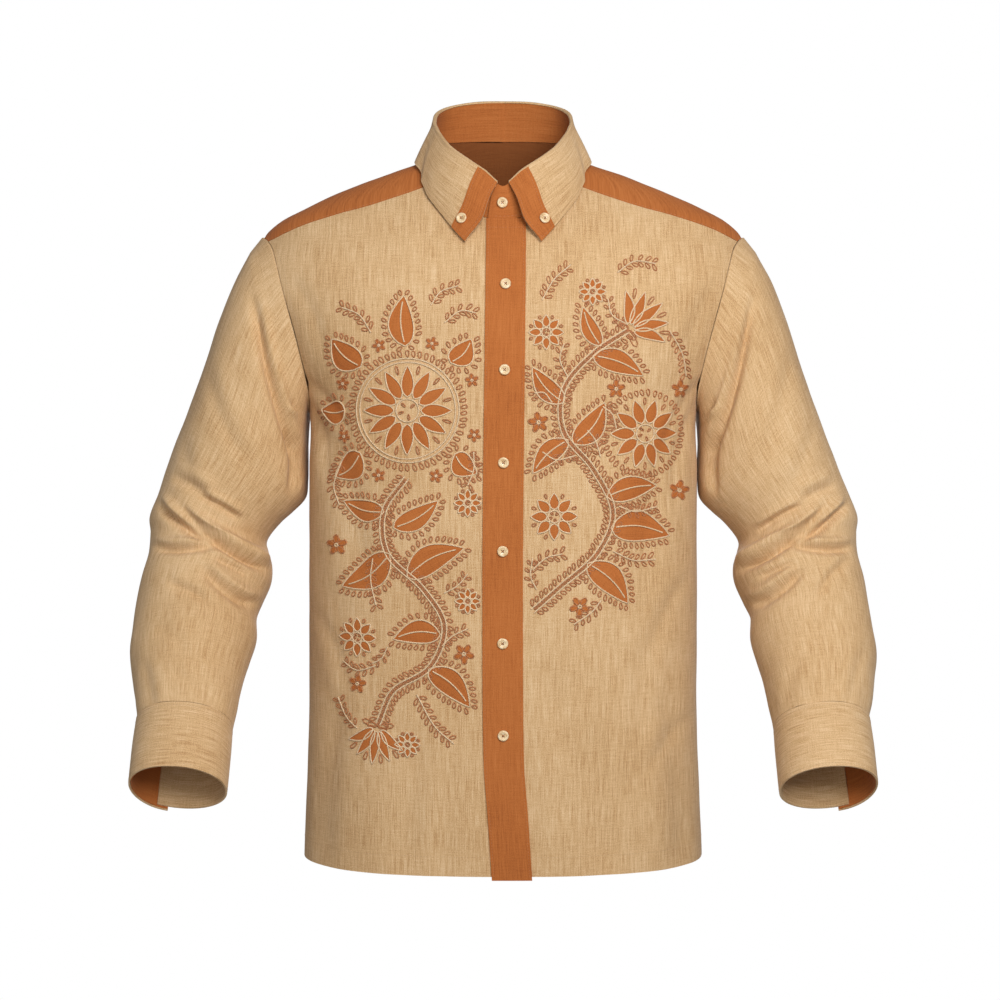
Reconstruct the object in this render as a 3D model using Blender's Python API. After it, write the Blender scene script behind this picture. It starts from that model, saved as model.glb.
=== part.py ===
# A long-sleeved linen shirt with a button-down collar, filled out in the form that it has when worn.
# Metres, +Z up, front towards -Y, the wearer's left towards +X.
# The origin is the middle of the neck's base, level with the points where shoulders and neck meet.

import math

import bmesh
import bpy
from mathutils import Vector

# Thickness of each kind of cloth, and the gap that is left at every seam
BODY_CLOTH = 0.0013
COLLAR_CLOTH = 0.0016
CUFF_CLOTH = 0.0018
TRIM_CLOTH = 0.0009
SEAM_GAP = 0.0004
ARMHOLE_GAP = 0.0006

# The shirt's main lengths
HEM_HEIGHT = -0.7345
ARMHOLE_TOP = -0.0732
ARMHOLE_BOTTOM = -0.262
ARMHOLE_HALF_DEPTH = 0.068
# The armhole's seam is sewn in equal steps of its turn, where the pieces' corners meet
ARMHOLE_STEPS = 27
FRONT_SEAM_STEPS = 1.5
BACK_SEAM_STEPS = 3.5
PLACKET_WIDTH = 0.0412
PLACKET_TOP = -0.0590
PLACKET_DROP = 0.0035
UNDER_FRONT_REACH = 0.0135
OVER_FRONT_SETBACK = 0.0152
BACK_YOKE_MIDDLE = -0.070
BUTTON_DIAMETER = 0.0113
BUTTON_THICKNESS = 0.0022

# Colours of the two linens and the buttons
STRAW = (0.60, 0.39, 0.20, 1.0)
RUST = (0.50, 0.17, 0.045, 1.0)
CREAM = (0.75, 0.52, 0.30, 1.0)

# The body's level sections: height, half_width, front_depth, back_depth, squareness
BODY = [
    (-0.740, 0.2135, 0.1300, 0.1300, 2.50),
    (-0.680, 0.2112, 0.1325, 0.1310, 2.50),
    (-0.600, 0.2088, 0.1345, 0.1300, 2.50),
    (-0.500, 0.2080, 0.1365, 0.1275, 2.50),
    (-0.400, 0.2080, 0.1378, 0.1265, 2.50),
    (-0.320, 0.2080, 0.1372, 0.1280, 2.45),
    (-0.262, 0.2080, 0.1355, 0.1310, 2.40),
    (-0.200, 0.2250, 0.1300, 0.1330, 2.35),
    (-0.140, 0.2500, 0.1195, 0.1300, 2.25),
    (-0.100, 0.2580, 0.1070, 0.1210, 2.05),
    (-0.0732, 0.2575, 0.0955, 0.1120, 1.85),
    (-0.0562, 0.2400, 0.0830, 0.1070, 1.92),
    (-0.0410, 0.2106, 0.0700, 0.1030, 2.05),
    (-0.0259, 0.1780, 0.0570, 0.0990, 2.10),
    (-0.0087, 0.1350, 0.0430, 0.0930, 2.10),
    (0.0043, 0.0975, 0.0345, 0.0890, 2.10),
    (0.0100, 0.0850, 0.0310, 0.0870, 2.10),
    (0.0180, 0.0820, 0.0280, 0.0845, 2.10),
    (0.0300, 0.0798, 0.0250, 0.0805, 2.10),
    (0.0450, 0.0775, 0.0220, 0.0765, 2.10),
]

# The line of the armhole seam seen from the front: height, distance_from_middle
ARMHOLE = [
    (-0.262, 0.2080),
    (-0.250, 0.2060),
    (-0.235, 0.2062),
    (-0.193, 0.2147),
    (-0.137, 0.2300),
    (-0.0893, 0.2440),
    (-0.0787, 0.2508),
    (-0.0732, 0.2575),
]

# The middle line of the placket: height, distance_from_middle
PLACKET = [
    (-0.740, 0.0092),
    (-0.676, 0.0050),
    (-0.615, 0.0006),
    (-0.452, -0.0005),
    (-0.349, 0.0000),
    (-0.215, 0.0015),
    (-0.082, 0.0030),
    (-0.055, 0.0030),
]

# The neck seam from the front middle to the back middle: from_middle, height, at_back
NECK = [
    (0.0000, -0.0590, False),
    (0.0300, -0.0545, False),
    (0.0550, -0.0395, False),
    (0.0735, -0.0178, False),
    (0.0805, 0.0000, False),
    (0.0820, 0.0095, False),
    (0.0818, 0.0185, False),
    (0.0780, 0.0285, True),
    (0.0580, 0.0345, True),
    (0.0300, 0.0375, True),
    (0.0000, 0.0380, True),
]
NECK_ROW_AT_YOKE = 3
# The panels end this much below the neck seam
NECK_DROP = 0.0001

# The rim where the collar folds over, beside the rows of the neck seam: x, y, z
RIM = [
    (0.0000, -0.0868, -0.0240),
    (0.0200, -0.0830, -0.0090),
    (0.0400, -0.0725, 0.0045),
    (0.0575, -0.0550, 0.0180),
    (0.0682, -0.0335, 0.0325),
    (0.0738, -0.0150, 0.0430),
    (0.0764, 0.0040, 0.0520),
    (0.0738, 0.0310, 0.0640),
    (0.0595, 0.0565, 0.0735),
    (0.0325, 0.0715, 0.0795),
    (0.0000, 0.0765, 0.0812),
]
ROLL_RADIUS = 0.0024
ROLL_SHARE = 0.3
# How many rows the stand's two ends reach past the front middle
STAND_UNDER_REACH = 0.42
STAND_OVER_REACH = 0.52

# The collar's outer edge from its point to the back middle: from_middle, height, at_back
COLLAR_EDGE = [
    (0.0390, -0.0850, False),
    (0.0525, -0.0702, False),
    (0.0655, -0.0540, False),
    (0.0775, -0.0378, False),
    (0.0855, -0.0210, False),
    (0.0892, -0.0045, False),
    (0.0862, 0.0098, False),
    (0.0780, 0.0136, True),
    (0.0600, 0.0155, True),
    (0.0320, 0.0180, True),
    (0.0000, 0.0190, True),
]
COLLAR_START = 0.31
COLLAR_CLEARANCE = 0.0034
# The fall bows out this much at its front and is hollow at its side
COLLAR_CROWN = 0.0035
COLLAR_SIDE_HOLLOW = 0.0008
COLLAR_SIDE_CLEARANCE = 0.0026
COLLAR_SIDE_ROW = 6.5
COLLAR_SIDE_REACH = 3.0
# Its front ends bow to the middle in their lower half
COLLAR_END_BOW = 0.0050
COLLAR_BOW_ROWS = 3
# The binding on the collar's end: rows wide, and its share of the way up
BAND_ROWS = 1.02
BAND_TOP = 0.72

# The front seam of the yoke from the neck to the armhole: from_middle, height
YOKE_SEAM = [
    (0.0735, -0.0178),
    (0.1060, -0.0305),
    (0.1420, -0.0425),
    (0.1800, -0.0525),
    (0.2170, -0.0640),
    (0.2503, -0.0782),
]

# Sections of the sleeve from the armhole to the cuff:
# outer_x, outer_z, inner_x, inner_z, middle_y, half_depth, lean in degrees
SLEEVE = [
    (0.2724, -0.0884, 0.2112, -0.3003, 0.002, 0.0700, 0),
    (0.2893, -0.1210, 0.2106, -0.3196, -0.001, 0.0710, 0),
    (0.3063, -0.1642, 0.2104, -0.3368, -0.003, 0.0720, 1),
    (0.3233, -0.2182, 0.2122, -0.3540, -0.005, 0.0730, 2),
    (0.3404, -0.2677, 0.2262, -0.3690, -0.006, 0.0730, 3),
    (0.3564, -0.3108, 0.2391, -0.3808, -0.007, 0.0710, 5),
    (0.3700, -0.3494, 0.2527, -0.3989, -0.010, 0.0665, 8),
    (0.3786, -0.3750, 0.2514, -0.4105, -0.014, 0.0640, 13),
    (0.3765, -0.3928, 0.2469, -0.4249, -0.020, 0.0630, 18),
    (0.3766, -0.4146, 0.2475, -0.4402, -0.029, 0.0620, 24),
    (0.3823, -0.4413, 0.2549, -0.4583, -0.040, 0.0610, 28),
    (0.3867, -0.4719, 0.2610, -0.4751, -0.052, 0.0600, 31),
    (0.3889, -0.4959, 0.2596, -0.4959, -0.064, 0.0590, 33),
    (0.3901, -0.5154, 0.2641, -0.5154, -0.076, 0.0570, 34),
    (0.3860, -0.5385, 0.2702, -0.5385, -0.091, 0.0540, 35),
    (0.3808, -0.5611, 0.2740, -0.5611, -0.107, 0.0505, 37),
    (0.3750, -0.5777, 0.2775, -0.5818, -0.120, 0.0470, 38),
]
CUFF_END = (0.3755, -0.6341, 0.2778, -0.6392, -0.165, 0.0455, 38)
SLEEVE_SQUARENESS = 2.1
SEAM_STEP = 0.0016

# The cuff's ends as turns from the outer side; the over end rises past the under end and hangs lower
CUFF_OVER_END = math.radians(-72)
CUFF_UNDER_END = math.radians(-58)
CUFF_RISE_START = math.radians(50)
CUFF_OVER_RISE = 0.0034
CUFF_OVER_DROP = 0.003
CUFF_FLARE = 0.0006
CUFF_COLUMNS = 28
FACING_COLUMNS = 9
SLIT_ROWS = 5.2
SLIT_WIDTH = 0.024
SLIT_RADIUS = 0.056

# Largest folds of a sleeve, as lines seen from the front (or the back):
# start_x, start_z, end_x, end_z, bow, half_width, depth, at_back
SLEEVE_FOLDS = [
    (0.3330, -0.3680, 0.2480, -0.4290, -0.002, 0.0085, 0.0070, False),
    (0.3620, -0.3600, 0.3080, -0.3960, -0.002, 0.0075, 0.0050, False),
    (0.3620, -0.4040, 0.3000, -0.3990, -0.002, 0.0070, 0.0040, False),
    (0.3100, -0.4250, 0.2600, -0.4650, -0.002, 0.0080, 0.0045, False),
    (0.2640, -0.1750, 0.2230, -0.3120, -0.005, 0.0085, 0.0055, False),
    (0.3600, -0.3900, 0.2550, -0.4200, -0.005, 0.0110, 0.0045, True),
    (0.3650, -0.4300, 0.2800, -0.4450, -0.003, 0.0110, 0.0035, True),
    (0.2640, -0.1700, 0.2250, -0.2900, -0.005, 0.0100, 0.0040, True),
]

# Largest folds of the body, in the same columns
BODY_FOLDS = [
    (0.1850, -0.2700, 0.1450, -0.4300, 0.008, 0.0140, 0.0035, False),
    (0.1700, -0.5600, 0.1900, -0.7300, -0.004, 0.0150, 0.0040, False),
    (0.0900, -0.5900, 0.1050, -0.7300, 0.004, 0.0180, 0.0025, False),
    (0.1700, -0.2600, 0.0900, -0.3900, 0.010, 0.0170, 0.0045, True),
    (0.1500, -0.4700, 0.1600, -0.7300, -0.005, 0.0180, 0.0045, True),
    (0.0500, -0.4400, 0.0600, -0.7300, 0.004, 0.0200, 0.0040, True),
]

# Places of the buttons: six on the placket, one on the stand and one on each collar point
FRONT_BUTTON_HEIGHTS = [-0.1285, -0.2165, -0.3110, -0.4010, -0.4950, -0.5890]
STAND_BUTTON_HEIGHT = -0.0420
STAND_BUTTON_TURN = 0.953
CORNER_BUTTON_ROW = 0.75
CORNER_BUTTON_UP = 0.14

RIGHT_ANGLE = math.pi / 2
ARMHOLE_STEP = 2 * math.pi / ARMHOLE_STEPS
FRONT_ARMHOLE_ROWS = int(ARMHOLE_STEPS / 2 - FRONT_SEAM_STEPS)
BACK_ARMHOLE_ROWS = int(ARMHOLE_STEPS / 2 - BACK_SEAM_STEPS)

# How many rows and columns of faces the panels have; pieces share them along their seams
LOWER_ROWS = 7
SEAM_COLUMNS = 8
LEFT_NECK_COLUMNS = 5
RIGHT_NECK_COLUMNS = 7
HALF_BACK_COLUMNS = 10
SEAM_CROWDING = 1.7


def clear_scene():
    for item in list(bpy.data.objects):
        bpy.data.objects.remove(item, do_unlink=True)


def make_material(name, colour, roughness):
    material = bpy.data.materials.new(name)
    material.use_nodes = True
    shader = material.node_tree.nodes["Principled BSDF"]
    shader.inputs["Base Color"].default_value = colour
    shader.inputs["Roughness"].default_value = roughness
    shader.inputs["Metallic"].default_value = 0.0
    return material


def past_middles(values, sign, full_turn=0.0):
    """Values from the front to the back middle, with two more at each end from the other side."""
    before = [sign * value for value in (values[2], values[1])]
    after = [full_turn + sign * value for value in (values[-2], values[-3])]
    return before + list(values) + after


def curve_value(values, at):
    """A number read at any place along evenly counted values, on a smooth curve through them."""
    last = len(values) - 1
    at = min(max(at, 0.0), float(last))
    row = min(int(at), last - 1)
    share = at - row
    start, end = values[row], values[row + 1]
    before = values[row - 1] if row > 0 else 2 * start - end
    after = values[row + 2] if row + 2 <= last else 2 * end - start
    leave, arrive = (end - before) / 2, (after - start) / 2
    return (
        start
        + leave * share
        + (3 * (end - start) - 2 * leave - arrive) * share**2
        + (2 * (start - end) + leave + arrive) * share**3
    )


def table_row(rows, at):
    """The columns of a table at any value of its first column, on a smooth curve through its rows."""
    last = len(rows) - 1
    at = min(max(at, rows[0][0]), rows[last][0])
    row = 0
    while row < last - 1 and at > rows[row + 1][0]:
        row += 1
    width = rows[row + 1][0] - rows[row][0]
    share = (at - rows[row][0]) / width
    found = []
    for column in range(1, len(rows[0])):
        slope = (rows[row + 1][column] - rows[row][column]) / width
        leave = arrive = slope
        if row > 0:
            leave = (rows[row + 1][column] - rows[row - 1][column]) / (rows[row + 1][0] - rows[row - 1][0])
        if row + 2 <= last:
            arrive = (rows[row + 2][column] - rows[row][column]) / (rows[row + 2][0] - rows[row][0])
        start, end = rows[row][column], rows[row + 1][column]
        leave, arrive = leave * width, arrive * width
        found.append(
            start
            + leave * share
            + (3 * (end - start) - 2 * leave - arrive) * share**2
            + (2 * (start - end) + leave + arrive) * share**3
        )
    return found


def ease(share):
    share = min(max(share, 0.0), 1.0)
    return share * share * (3 - 2 * share)


def fold_push(folds, point, side, at_back):
    """How far the folds push a point of the cloth inwards."""
    push = 0.0
    for start_x, start_z, end_x, end_z, bow, half_width, depth, behind in folds:
        if behind != at_back:
            continue
        run_x, run_z = end_x - start_x, end_z - start_z
        length = math.hypot(run_x, run_z)
        from_x, from_z = point.x * side - start_x, point.z - start_z
        along = (from_x * run_x + from_z * run_z) / length**2
        if not -0.1 < along < 1.1:
            continue
        across = (from_x * run_z - from_z * run_x) / length - bow * math.sin(math.pi * min(max(along, 0), 1))
        fade = ease((along + 0.1) / 0.3) * ease((1.1 - along) / 0.3)
        push += depth * fade * math.exp(-((across / half_width) ** 2))
    return push


# The body's form

def armhole_distance(height):
    return table_row(ARMHOLE, height)[0]


def armhole_height(turn):
    """Height of the armhole's seam at a turn, which is 0 at its top and half a turn at its bottom."""
    middle, half_height = (ARMHOLE_TOP + ARMHOLE_BOTTOM) / 2, (ARMHOLE_TOP - ARMHOLE_BOTTOM) / 2
    up, front = abs(math.cos(turn)), abs(math.sin(turn))
    share = (up**SLEEVE_SQUARENESS + front**SLEEVE_SQUARENESS) ** (-1 / SLEEVE_SQUARENESS)
    return middle + half_height * share * math.cos(turn)


def armhole_depth(height):
    middle = (ARMHOLE_TOP + ARMHOLE_BOTTOM) / 2
    share = abs(height - middle) / ((ARMHOLE_TOP - ARMHOLE_BOTTOM) / 2)
    if share >= 1:
        return 0.0
    return ARMHOLE_HALF_DEPTH * (1 - share**SLEEVE_SQUARENESS) ** (1 / SLEEVE_SQUARENESS)


def body_section(height, at_back):
    """Half width, depth and squareness of a level section, carried on past the armhole's edge."""
    half_width, front, back, squareness = table_row(BODY, height)
    depth = back if at_back else front
    reach = armhole_depth(height)
    if reach > 0:
        half_width = armhole_distance(height) / (1 - (reach / depth) ** squareness) ** (1 / squareness)
    return half_width, depth, squareness


def body_form(angle, height):
    side, ahead = math.sin(angle), math.cos(angle)
    half_width, depth, squareness = body_section(height, ahead < 0)
    reach = (abs(side) ** squareness + abs(ahead) ** squareness) ** (-1 / squareness)
    return Vector((half_width * reach * side, -depth * reach * ahead, height))


def outward(form, first, second, step=0.0004):
    """The direction square to a form, pointing out of the cloth."""
    along_first = form(first + step, second) - form(first - step, second)
    along_second = form(first, second + step) - form(first, second - step)
    return along_first.cross(along_second).normalized()


def armhole_normal(height, at_back):
    """The direction out of the armhole's ring, square to the wearer's left."""
    half_height = (ARMHOLE_TOP - ARMHOLE_BOTTOM) / 2
    up = (height - ARMHOLE_BOTTOM) / half_height - 1
    ahead = armhole_depth(height) / ARMHOLE_HALF_DEPTH
    power = SLEEVE_SQUARENESS - 1
    across = ahead**power / ARMHOLE_HALF_DEPTH
    rise = math.copysign(abs(up) ** power / half_height, up)
    return Vector((0, across if at_back else -across, rise)).normalized()


def body_point(angle, height, lift=0.0, on_armhole=False):
    """A point of the body with its folds, moved out by lift; on the armhole it moves with the sleeve's."""
    point = body_form(angle, height)
    normal = outward(body_form, angle, height)
    if on_armhole:
        share = ease((height - ARMHOLE_BOTTOM - 0.02) / 0.05)
        normal = normal.lerp(armhole_normal(height, math.cos(angle) < 0), share).normalized()
    side = 1 if point.x >= 0 else -1
    facing = ease(abs(normal.y) / 0.5)
    push = fold_push(BODY_FOLDS, point, side, math.cos(angle) < 0) * facing
    return point + normal * (lift - push)


def body_angle(distance, height, at_back=False):
    half_width, _, squareness = body_section(height, at_back)
    share = min(abs(distance) / half_width, 1.0)
    ahead = (1 - share**squareness) ** (1 / squareness)
    angle = math.atan2(share, ahead)
    if at_back:
        angle = math.pi - angle
    return math.copysign(angle, distance)


def armhole_angle(height, at_back):
    """Where the body's edge lies at a height: the side seam, or the armhole above it."""
    reach = armhole_depth(height)
    if reach <= 0:
        return RIGHT_ANGLE
    half_width, depth, _ = body_section(height, at_back)
    angle = math.atan2(armhole_distance(height) / half_width, reach / depth)
    return math.pi - angle if at_back else angle


def side_gap(height):
    return SEAM_GAP / 2 / table_row(BODY, height)[1]


def angles_and_heights(rows):
    angles = [body_angle(distance, height, at_back) for distance, height, at_back in rows]
    heights = [height for _, height, _ in rows]
    return past_middles(angles, -1, 2 * math.pi), past_middles(heights, 1)


def from_a_point(values):
    """Values whose first one is a free corner: the two before it go straight on from it."""
    step = values[3] - values[2]
    return [values[2] - 2 * step, values[2] - step] + values[2:]


NECK_ANGLES, NECK_HEIGHTS = angles_and_heights(NECK)
EDGE_ANGLES, EDGE_HEIGHTS = [from_a_point(values) for values in angles_and_heights(COLLAR_EDGE)]
RIM_X = past_middles([place[0] for place in RIM], -1)
RIM_Y = past_middles([place[1] for place in RIM], 1)
RIM_Z = past_middles([place[2] for place in RIM], 1)


def neck_place(row):
    """Angle and height of the neck seam at a row; rows below 0 lie past the front middle."""
    return curve_value(NECK_ANGLES, row + 2), curve_value(NECK_HEIGHTS, row + 2)


def neck_row(distance):
    """The row of the neck seam at a distance from the front middle."""
    low, high = -1.0, 1.0
    for _ in range(30):
        middle = (low + high) / 2
        if body_form(*neck_place(middle)).x < distance:
            low = middle
        else:
            high = middle
    return low


def panel_place(to_side, up, armhole_rows, middle_angle, top, at_back):
    """Angle and height in a panel of the body, whose middle edge is at 0 and whose side is at 1.
    Rows beside the armhole keep to its seam's steps and rise into the form of the panel's top."""
    row = up * (LOWER_ROWS + armhole_rows)
    top_height = armhole_height(math.pi - armhole_rows * ARMHOLE_STEP)
    height, rise = HEM_HEIGHT + (ARMHOLE_BOTTOM - HEM_HEIGHT) * row / LOWER_ROWS, 0.0
    if row > LOWER_ROWS:
        height = armhole_height(math.pi - (row - LOWER_ROWS) * ARMHOLE_STEP)
        rise = ((height - ARMHOLE_BOTTOM) / (top_height - ARMHOLE_BOTTOM)) ** 2
    height -= SEAM_GAP / 2 * rise
    gap = side_gap(height)
    end = armhole_angle(height, at_back) + (gap if at_back else -gap)
    middle_top, side_top, own_top = top(0), top(1), top(to_side)
    start = middle_angle(height + (middle_top[1] - side_top[1]) * rise)
    top_share = (own_top[0] - middle_top[0]) / (side_top[0] - middle_top[0])
    share = to_side + (top_share - to_side) * rise
    return start + (end - start) * share, height + (own_top[1] - side_top[1]) * rise


def patch(bottom, top, left, right):
    """A place inside a panel, worked out from its four edges; the left one's form fades quickly."""
    corners = [bottom(0), bottom(1), top(0), top(1)]

    def place(across, up):
        edges = [bottom(across), top(across), left(up), right(up)]
        found = []
        to_left = (1 - across) ** 3
        for axis in range(3):
            low, high, near, far = (edge[axis] for edge in edges)
            corner = [c[axis] for c in corners]
            found.append(
                (1 - up) * low
                + up * high
                + to_left * (near - (1 - up) * corner[0] - up * corner[2])
                + (1 - to_left) * (far - (1 - up) * corner[1] - up * corner[3])
            )
        return found

    return place


# Building cloth

def cloth(name, point, columns, rows, thickness, material, joined=False):
    """A wall of cloth: a flat slab bent into its form by point(across, up, lift), whose lift is 0
    on the outer face and less than 0 behind it."""
    shape = bmesh.new()
    bmesh.ops.create_grid(shape, x_segments=columns, y_segments=rows, size=0.5)
    bmesh.ops.triangulate(shape, faces=shape.faces[:], quad_method="FIXED")
    copied = bmesh.ops.extrude_face_region(shape, geom=shape.faces[:], use_keep_orig=True)
    back = [item for item in copied["geom"] if isinstance(item, bmesh.types.BMVert)]
    bmesh.ops.translate(shape, verts=back, vec=(0, 0, -1))
    bmesh.ops.recalc_face_normals(shape, faces=shape.faces)
    if joined:
        ends = [face for face in shape.faces if abs(face.normal.x) > 0.9]
        bmesh.ops.delete(shape, geom=ends, context="FACES_ONLY")
    for vertex in shape.verts:
        vertex.co = point(vertex.co.x + 0.5, vertex.co.y + 0.5, vertex.co.z * thickness)
    if joined:
        bmesh.ops.remove_doubles(shape, verts=shape.verts, dist=0.00001)
    for face in shape.faces:
        face.smooth = True
    mesh = bpy.data.meshes.new(name)
    shape.to_mesh(mesh)
    shape.free()
    mesh.set_sharp_from_angle(angle=math.radians(50))
    piece = bpy.data.objects.new(name, mesh)
    bpy.context.scene.collection.objects.link(piece)
    mesh.materials.append(material)
    return piece


def raised(form, across, up, lift):
    """A point of a form, moved out square to it."""
    step = 0.002
    aside = form(min(across + step, 1), up) - form(max(across - step, 0), up)
    above = form(across, min(up + step, 1)) - form(across, max(up - step, 0))
    return form(across, up) + aside.cross(above).normalized() * lift


def mirrored(point, side):
    """The same form on the wearer's other side, still facing out."""
    if side > 0:
        return point

    def other(across, up, lift):
        found = point(1 - across, up, lift)
        return Vector((-found.x, found.y, found.z))

    return other


# Body pieces

def yoke_seam_place(share):
    """Angle and height on the yoke's front seam, from the neck at 0 to the armhole at 1."""
    row = share * (len(YOKE_SEAM) - 1)
    distance, height = (curve_value([place[axis] for place in YOKE_SEAM], row) for axis in range(2))
    if share < 1:
        return body_angle(distance, height), height
    height = armhole_height(FRONT_SEAM_STEPS * ARMHOLE_STEP)
    return armhole_angle(height, False), height


def front_edge(height, side):
    """Distance of a front's middle edge on the wearer's left, or mirrored on the right."""
    middle = table_row(PLACKET, height)[0] * side
    return middle + (OVER_FRONT_SETBACK if side > 0 else -UNDER_FRONT_REACH)


def front_form(side, neck_columns):
    neck_start = neck_row(front_edge(NECK[0][1], side))
    seam_share = neck_columns / (neck_columns + SEAM_COLUMNS)

    def top(across):
        if across < seam_share:
            row = neck_start + (NECK_ROW_AT_YOKE - neck_start) * across / seam_share
            angle, height = neck_place(row)
            return angle, height - NECK_DROP
        share = (across - seam_share) / (1 - seam_share)
        angle, height = yoke_seam_place(share**SEAM_CROWDING)
        return angle, height - SEAM_GAP / 2

    def middle_angle(height):
        return body_angle(front_edge(height, side), height)

    def point(across, up, lift):
        place = panel_place(across, up, FRONT_ARMHOLE_ROWS, middle_angle, top, False)
        return body_point(*place, lift, across > 0.999)

    return mirrored(point, side)


def make_fronts(straw):
    rows = LOWER_ROWS + FRONT_ARMHOLE_ROWS
    for name, side, neck_columns in (("front_left", 1, LEFT_NECK_COLUMNS), ("front_right", -1, RIGHT_NECK_COLUMNS)):
        point = front_form(side, neck_columns)
        cloth(name, point, neck_columns + SEAM_COLUMNS, rows, BODY_CLOTH, straw)


def back_seam_height(angle):
    side_height = armhole_height(BACK_SEAM_STEPS * ARMHOLE_STEP)
    spread = (angle - math.pi) / (armhole_angle(side_height, True) - math.pi)
    return BACK_YOKE_MIDDLE + (side_height - BACK_YOKE_MIDDLE) * spread**2


def back_form():
    """The back, worked out for the wearer's left half and mirrored."""
    side_top = armhole_angle(armhole_height(BACK_SEAM_STEPS * ARMHOLE_STEP), True)

    def top(to_side):
        angle = math.pi + (side_top - math.pi) * to_side
        return angle, back_seam_height(angle) - SEAM_GAP / 2

    def point(across, up, lift):
        to_side = abs(2 * across - 1)
        place = panel_place(to_side, up, BACK_ARMHOLE_ROWS, lambda _: math.pi, top, True)
        found = body_point(*place, lift, to_side > 0.999)
        return Vector((math.copysign(found.x, 0.5 - across), found.y, found.z))

    return point


def yoke_form():
    """The yoke from its front seam over one shoulder, behind the neck and over the other."""
    shoulder_columns = FRONT_SEAM_STEPS + BACK_SEAM_STEPS
    corner_share = shoulder_columns / (shoulder_columns + HALF_BACK_COLUMNS)
    neck_last = len(NECK) - 1

    def outer(across):
        steps = min(across / corner_share, 1) * shoulder_columns - FRONT_SEAM_STEPS
        height = armhole_height(steps * ARMHOLE_STEP)
        angle = armhole_angle(height, steps > 0)
        if across > corner_share:
            angle += (math.pi - angle) * (across - corner_share) / (1 - corner_share)
            height = back_seam_height(angle)
        return body_form(angle, height)

    def inner(across):
        angle, height = neck_place(NECK_ROW_AT_YOKE + (neck_last - NECK_ROW_AT_YOKE) * across)
        return body_form(angle, height - NECK_DROP)

    def front(up):
        return body_form(*yoke_seam_place(1 - up))

    def middle(up):
        start, end = outer(1).z, inner(1).z
        return body_form(math.pi, start + (end - start) * up)

    place = patch(outer, inner, front, middle)

    def point(across, up, lift):
        turn = 2 * across - 1
        share = 1 - abs(turn)
        x, y, height = place(share, 1 - (1 - up) ** SEAM_CROWDING)
        half_width, depth, _ = body_section(height, y > 0)
        angle = math.atan2(x / half_width, -y / depth)
        found = body_point(angle, height, lift, up < 0.001 and share <= corner_share + 0.001)
        return Vector((-math.copysign(found.x, turn), found.y, found.z))

    return point


def make_back_and_yoke(straw, rust):
    cloth("back", back_form(), 2 * HALF_BACK_COLUMNS, LOWER_ROWS + BACK_ARMHOLE_ROWS, BODY_CLOTH, straw)
    columns = 2 * (HALF_BACK_COLUMNS + int(FRONT_SEAM_STEPS + BACK_SEAM_STEPS))
    cloth("yoke", yoke_form(), columns, SEAM_COLUMNS, BODY_CLOTH, rust)


def placket_point(across, up, lift):
    low = HEM_HEIGHT - PLACKET_DROP
    height = low + (PLACKET_TOP - low) * (1 - (1 - up) ** SEAM_CROWDING)
    distance = table_row(PLACKET, height)[0] + (across - 0.5) * PLACKET_WIDTH
    return body_point(body_angle(distance, height), height, SEAM_GAP + BODY_CLOTH + lift)


# Collar

def rim_place(row):
    """The rim and the level direction out of it, at a row that may lie past the front middle."""
    spot, before, after = (
        Vector([curve_value(values, at + 2) for values in (RIM_X, RIM_Y, RIM_Z)])
        for at in (row, row - 0.05, row + 0.05)
    )
    run = after - before
    return spot, Vector((run.y, -run.x, 0)).normalized()


def stand_point(turn, up, lift=0.0):
    """The collar stand: turn runs from -1, the under end, round the back to 1, the over end."""
    past_middle = STAND_UNDER_REACH if turn < 0 else STAND_OVER_REACH
    last = len(NECK) - 1
    row = last - (last + past_middle) * abs(turn)
    rim, out = rim_place(row)
    foot = body_form(*neck_place(row)) + Vector((0, 0, 2 * SEAM_GAP))
    head = rim - out * (2 * ROLL_RADIUS - BODY_CLOTH) - Vector((0, 0, 3 * SEAM_GAP))
    side = 1 if turn > 0 else -1
    under = ease((0.045 - foot.x) / 0.03) * (BODY_CLOTH + 3 * SEAM_GAP) if side < 0 else 0.0
    end_round = 0.012 * max(0.0, (abs(turn) - 0.965) / 0.035) ** 2
    top_share = up * (1 - end_round / 0.03)
    point = foot.lerp(head, top_share)
    point += out * (lift - under + 0.001 * math.sin(math.pi * up))
    return Vector((point.x * side, point.y, point.z))


def stand_form(across, up, lift):
    return stand_point(1 - 2 * across, up, lift)


def collar_form(across, up):
    """The fall of the collar from the left front round the back, and from its free edge to its seam."""
    last = len(RIM) - 1
    turn, down = 1 - 2 * across, 1 - up
    place = last * (1 - abs(turn))
    rim, out = rim_place(COLLAR_START + (last - COLLAR_START) * place / last)
    side = 1 if turn > 0 else -1
    if down < ROLL_SHARE:
        swing = math.pi * (1 - down / ROLL_SHARE)
        point = rim + out * ROLL_RADIUS * (math.cos(swing) - 1)
        point.z += ROLL_RADIUS * math.sin(swing)
    else:
        drop = (down - ROLL_SHARE) / (1 - ROLL_SHARE)
        angle, height = curve_value(EDGE_ANGLES, place + 2), curve_value(EDGE_HEIGHTS, place + 2)
        at_side = max(0.0, 1 - abs(place - COLLAR_SIDE_ROW) / COLLAR_SIDE_REACH)
        clearance = COLLAR_CLEARANCE + COLLAR_SIDE_CLEARANCE * at_side
        foot = body_form(angle, height) + outward(body_form, angle, height) * clearance
        crown = COLLAR_CROWN - (COLLAR_CROWN + COLLAR_SIDE_HOLLOW) * at_side
        point = rim.lerp(foot, drop) + out * crown * math.sin(math.pi * drop)
        bow = COLLAR_END_BOW * max(0.0, 1 - place / COLLAR_BOW_ROWS) ** 1.5
        point.x -= bow * math.sin(math.pi * drop**1.5) ** 2
    return Vector((point.x * side, point.y, point.z))


def collar_point(across, up, lift):
    return raised(collar_form, across, up, lift)


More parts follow.
